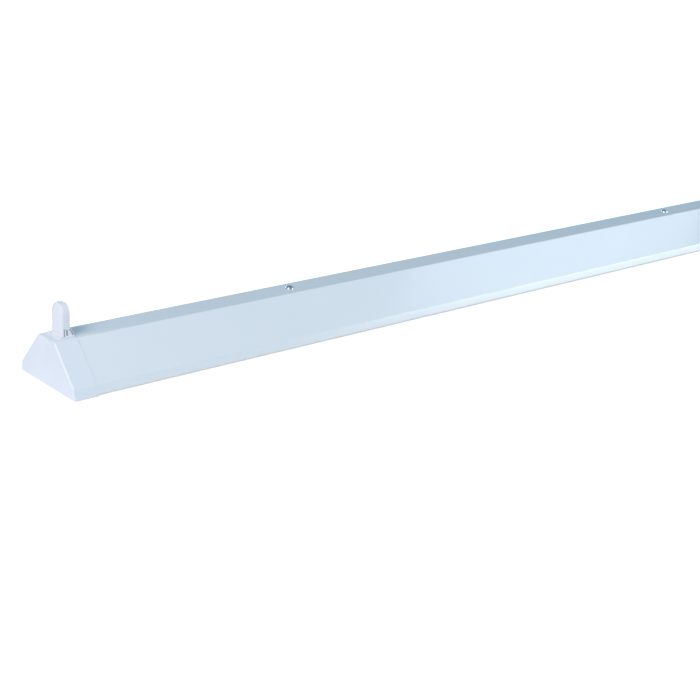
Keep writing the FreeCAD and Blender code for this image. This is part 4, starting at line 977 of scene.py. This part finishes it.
class TUBELIGHT_OT_leads(Builder, bpy.types.Operator):
    """Run the leads and set the clips that hold them"""
    bl_idname = "tubelight.leads"
    bl_label = "Leads"

    def make(self, scene):
        sizes = scene.tube_light_leads
        routes = {
            "neutral_lead": [[(-45.5, -11, 7.1), (-29, -11, 7.1), (-1, -7.5, 9.9), (43, -4, 11.9),
                              (63.95, -4, 11.9)]],
            "live_lead": [[(-45.5, 0, 7.1), (-29, 0, 7.1), (-1, 2, 9.9), (43, 4, 11.9),
                           (63.95, 4, 11.9)]],
            "earth_lead": [[(-45.5, 11, 7.1), (-32, 11, 7.1), (-21, 21, 5.1), (4, 31, 2.9),
                            (19.95, 31, 2.9)]],
            "lamp_leads_left": [], "lamp_leads_right": [],
        }
        for pair in (-1, 1):
            lane, side = -LANE + pair * LEAD_SHIFT, -4.5 + pair * 2.25
            corner = 306.25 - pair * 1.75
            routes["lamp_leads_left"].append(
                [(286.05, side, 11.9), (297, side, 11.9), (corner, side - 6, 9.9),
                 (corner, lane + 7, 6.1), (corner - 14, lane, LANE_LEVEL)]
                + holder_end(-1, lane, pair * 2.6))
            lane, side = LANE + pair * LEAD_SHIFT, 4.5 + pair * 2.25
            routes["lamp_leads_right"].append(
                [(286.05, side, 11.9), (303, side, 11.9), (340, side, 6.9),
                 (366, lane, LANE_LEVEL)] + holder_end(1, lane, pair * 2.6))
        for node, ways in routes.items():
            name = node + "_run"
            mesh = lead_tree().grow(name, chain(name + "_line", [bent(way) for way in ways]),
                                    radius=sizes.radius, sides=sizes.sides,
                                    material=finish_for(SLOTS[node]))
            mesh.shade_smooth()
            mesh.set_sharp_from_angle(angle=math.radians(LEAD_CREASE))
            settle(name, mesh, BODIES[node], SLOTS[node], node)
        self.clips(scene, sizes)

    def clips(self, scene, sizes):
        """Saddles over each pair of leads, all of one shape."""
        foot, top, half, slope = 1.0, 5.3, 6.5, 1.5
        outline = both_ways([((half, foot, 0), 0.3), ((half, top - slope, 0), 0.5),
                             ((half - slope, top, 0), 0.5)])
        bores = [(0, way * LEAD_SHIFT, LANE_LEVEL, CLIP_BORE, CLIP_CUT, "X") for way in (-1, 1)]
        mesh = folded("clip_saddles", outline, sizes.clip_length / MM, cutters("clip_cuts", bores),
                      CLIP_PLACES, finish_for("clip_nylon"), 4,
                      scene.tube_light_moulded.small_edge)
        settle("clip_saddles", mesh, "fixture", "clip_nylon", "lead_clips")


class TUBELIGHT_OT_studio(Builder, bpy.types.Operator):
    """Lay the pale floor and set the lights and the camera"""
    bl_idname = "tubelight.studio"
    bl_label = "Studio"

    def make(self, scene):
        settings = scene.tube_light_studio
        self.floor()
        middle = (spine_low + spine_high) / 2
        for name, (way, distance, size) in SOFTBOXES.items():
            self.softbox(name + "_softbox", middle, Vector(way), distance, size,
                         getattr(settings, name), getattr(settings, name + "_tint"))
        self.room(scene, settings)
        scene.view_settings.view_transform = "Standard"
        scene.view_settings.look = "None"
        self.camera(scene, settings)

    def room(self, scene, settings):
        """Even light all round, and white where the camera looks past the floor."""
        world = bpy.data.worlds.new("Room")
        tools = cleared(world)
        light = tools.node("ShaderNodeBackground", {"Color": tinted(settings.sky_tint, 1.0),
                                                    "Strength": settings.sky})
        white = tools.node("ShaderNodeBackground", {"Color": (1.0, 1.0, 1.0, 1.0), "Strength": 1.0})
        seen = tools.node("ShaderNodeLightPath", out="Is Camera Ray")
        both = tools.node("ShaderNodeMixShader", {0: seen, 1: light, 2: white})
        end = tools.tree.nodes.new("ShaderNodeOutputWorld")
        tools.tree.links.new(both, end.inputs["Surface"])
        scene.world = world

    def floor(self):
        """A wide pale floor that glows for the camera alone, so it renders white."""
        work = bmesh.new()
        bmesh.ops.create_circle(work, cap_ends=True, segments=96, radius=FLOOR_RADIUS)
        bmesh.ops.translate(work, verts=work.verts, vec=(0, 0, -FLOOR_DROP))
        floor = add("studio_floor", poured(work, bpy.data.meshes.new("studio_floor")))
        made, tools, end, place = blank("floor_paper")
        tone = tools.ramp(tools.noise(place, 3.0, 3.0), *NOISE_SPAN)
        base = mix(tools, tone, (0.86, 0.87, 0.88, 1.0), (0.88, 0.89, 0.90, 1.0))
        seen = tools.node("ShaderNodeLightPath", out="Is Camera Ray")
        reach = tools.node("ShaderNodeVectorMath", {0: place}, out="Value", operation="LENGTH")
        glow = tools.times(seen, tools.ramp(reach, *FLOOR_GLOW))
        shader = tools.node("ShaderNodeBsdfPrincipled", {
            "Base Color": base, "Roughness": 0.9, "Specular IOR Level": 0.1,
            "Emission Color": (1.0, 0.91, 0.83, 1.0), "Emission Strength": glow})
        tools.tree.links.new(shader, end.inputs["Surface"])
        dress(floor, made)

    def softbox(self, name, target, way, distance, size, power, tint):
        """A rectangular light that stands in a direction from what it lights."""
        light = bpy.data.lights.new(name, "AREA")
        light.shape = "RECTANGLE"
        light.size, light.size_y = size
        light.energy = power
        light.color = tint
        lamp = add(name, light)
        lamp.visible_camera = False
        lamp.location = target + way.normalized() * distance
        lamp.rotation_euler = (-way).to_track_quat("-Z", "Y").to_euler()

    def camera(self, scene, settings):
        yaw, pitch, roll = settings.heading, settings.dip, settings.lean
        ahead = Vector((math.sin(yaw) * math.cos(pitch), math.cos(yaw) * math.cos(pitch),
                        -math.sin(pitch)))
        level = Vector((math.cos(yaw), -math.sin(yaw), 0.0))
        rise = level.cross(ahead)
        right = math.cos(roll) * level + math.sin(roll) * rise
        up = math.cos(roll) * rise - math.sin(roll) * level
        lens = bpy.data.cameras.new("photo_camera")
        lens.lens = settings.lens
        lens.sensor_width = 36.0
        lens.clip_start, lens.clip_end = 0.02, 60.0
        eye = add("photo_camera", lens)
        turn = Matrix((right, up, -ahead)).transposed().to_4x4()
        eye.matrix_world = Matrix.Translation(Vector(settings.eye)) @ turn
        scene.camera = eye


STEPS = (TUBELIGHT_OT_spine, TUBELIGHT_OT_caps, TUBELIGHT_OT_holders, TUBELIGHT_OT_cover_screws,
         TUBELIGHT_OT_tray, TUBELIGHT_OT_posts, TUBELIGHT_OT_fixing_screws, TUBELIGHT_OT_terminals,
         TUBELIGHT_OT_ballast, TUBELIGHT_OT_leads, TUBELIGHT_OT_studio)


class TUBELIGHT_PT_panel(bpy.types.Panel):
    """Lists the steps that build the fixture"""
    bl_label = "Tube light fixture"
    bl_space_type = "VIEW_3D"
    bl_region_type = "UI"
    bl_category = "Tube light"

    def draw(self, context):
        for step in STEPS:
            self.layout.operator(step.bl_idname)


SETTINGS = {"tube_light_sheet": SheetSizes, "tube_light_moulded": MouldedSizes,
            "tube_light_screws": ScrewSizes, "tube_light_leads": LeadSizes,
            "tube_light_colours": FinishColours, "tube_light_studio": StudioSettings}


def register():
    for group in SETTINGS.values():
        bpy.utils.register_class(group)
    for name, group in SETTINGS.items():
        setattr(bpy.types.Scene, name, PointerProperty(type=group))
    for step in STEPS:
        bpy.utils.register_class(step)
    bpy.utils.register_class(TUBELIGHT_PT_panel)


def unregister():
    bpy.utils.unregister_class(TUBELIGHT_PT_panel)
    for step in reversed(STEPS):
        bpy.utils.unregister_class(step)
    for name in SETTINGS:
        delattr(bpy.types.Scene, name)
    for group in reversed(list(SETTINGS.values())):
        bpy.utils.unregister_class(group)


def main():
    register()
    for step in STEPS:
        group, name = step.bl_idname.split(".")
        getattr(getattr(bpy.ops, group), name)()


if __name__ == "__main__":
    main()
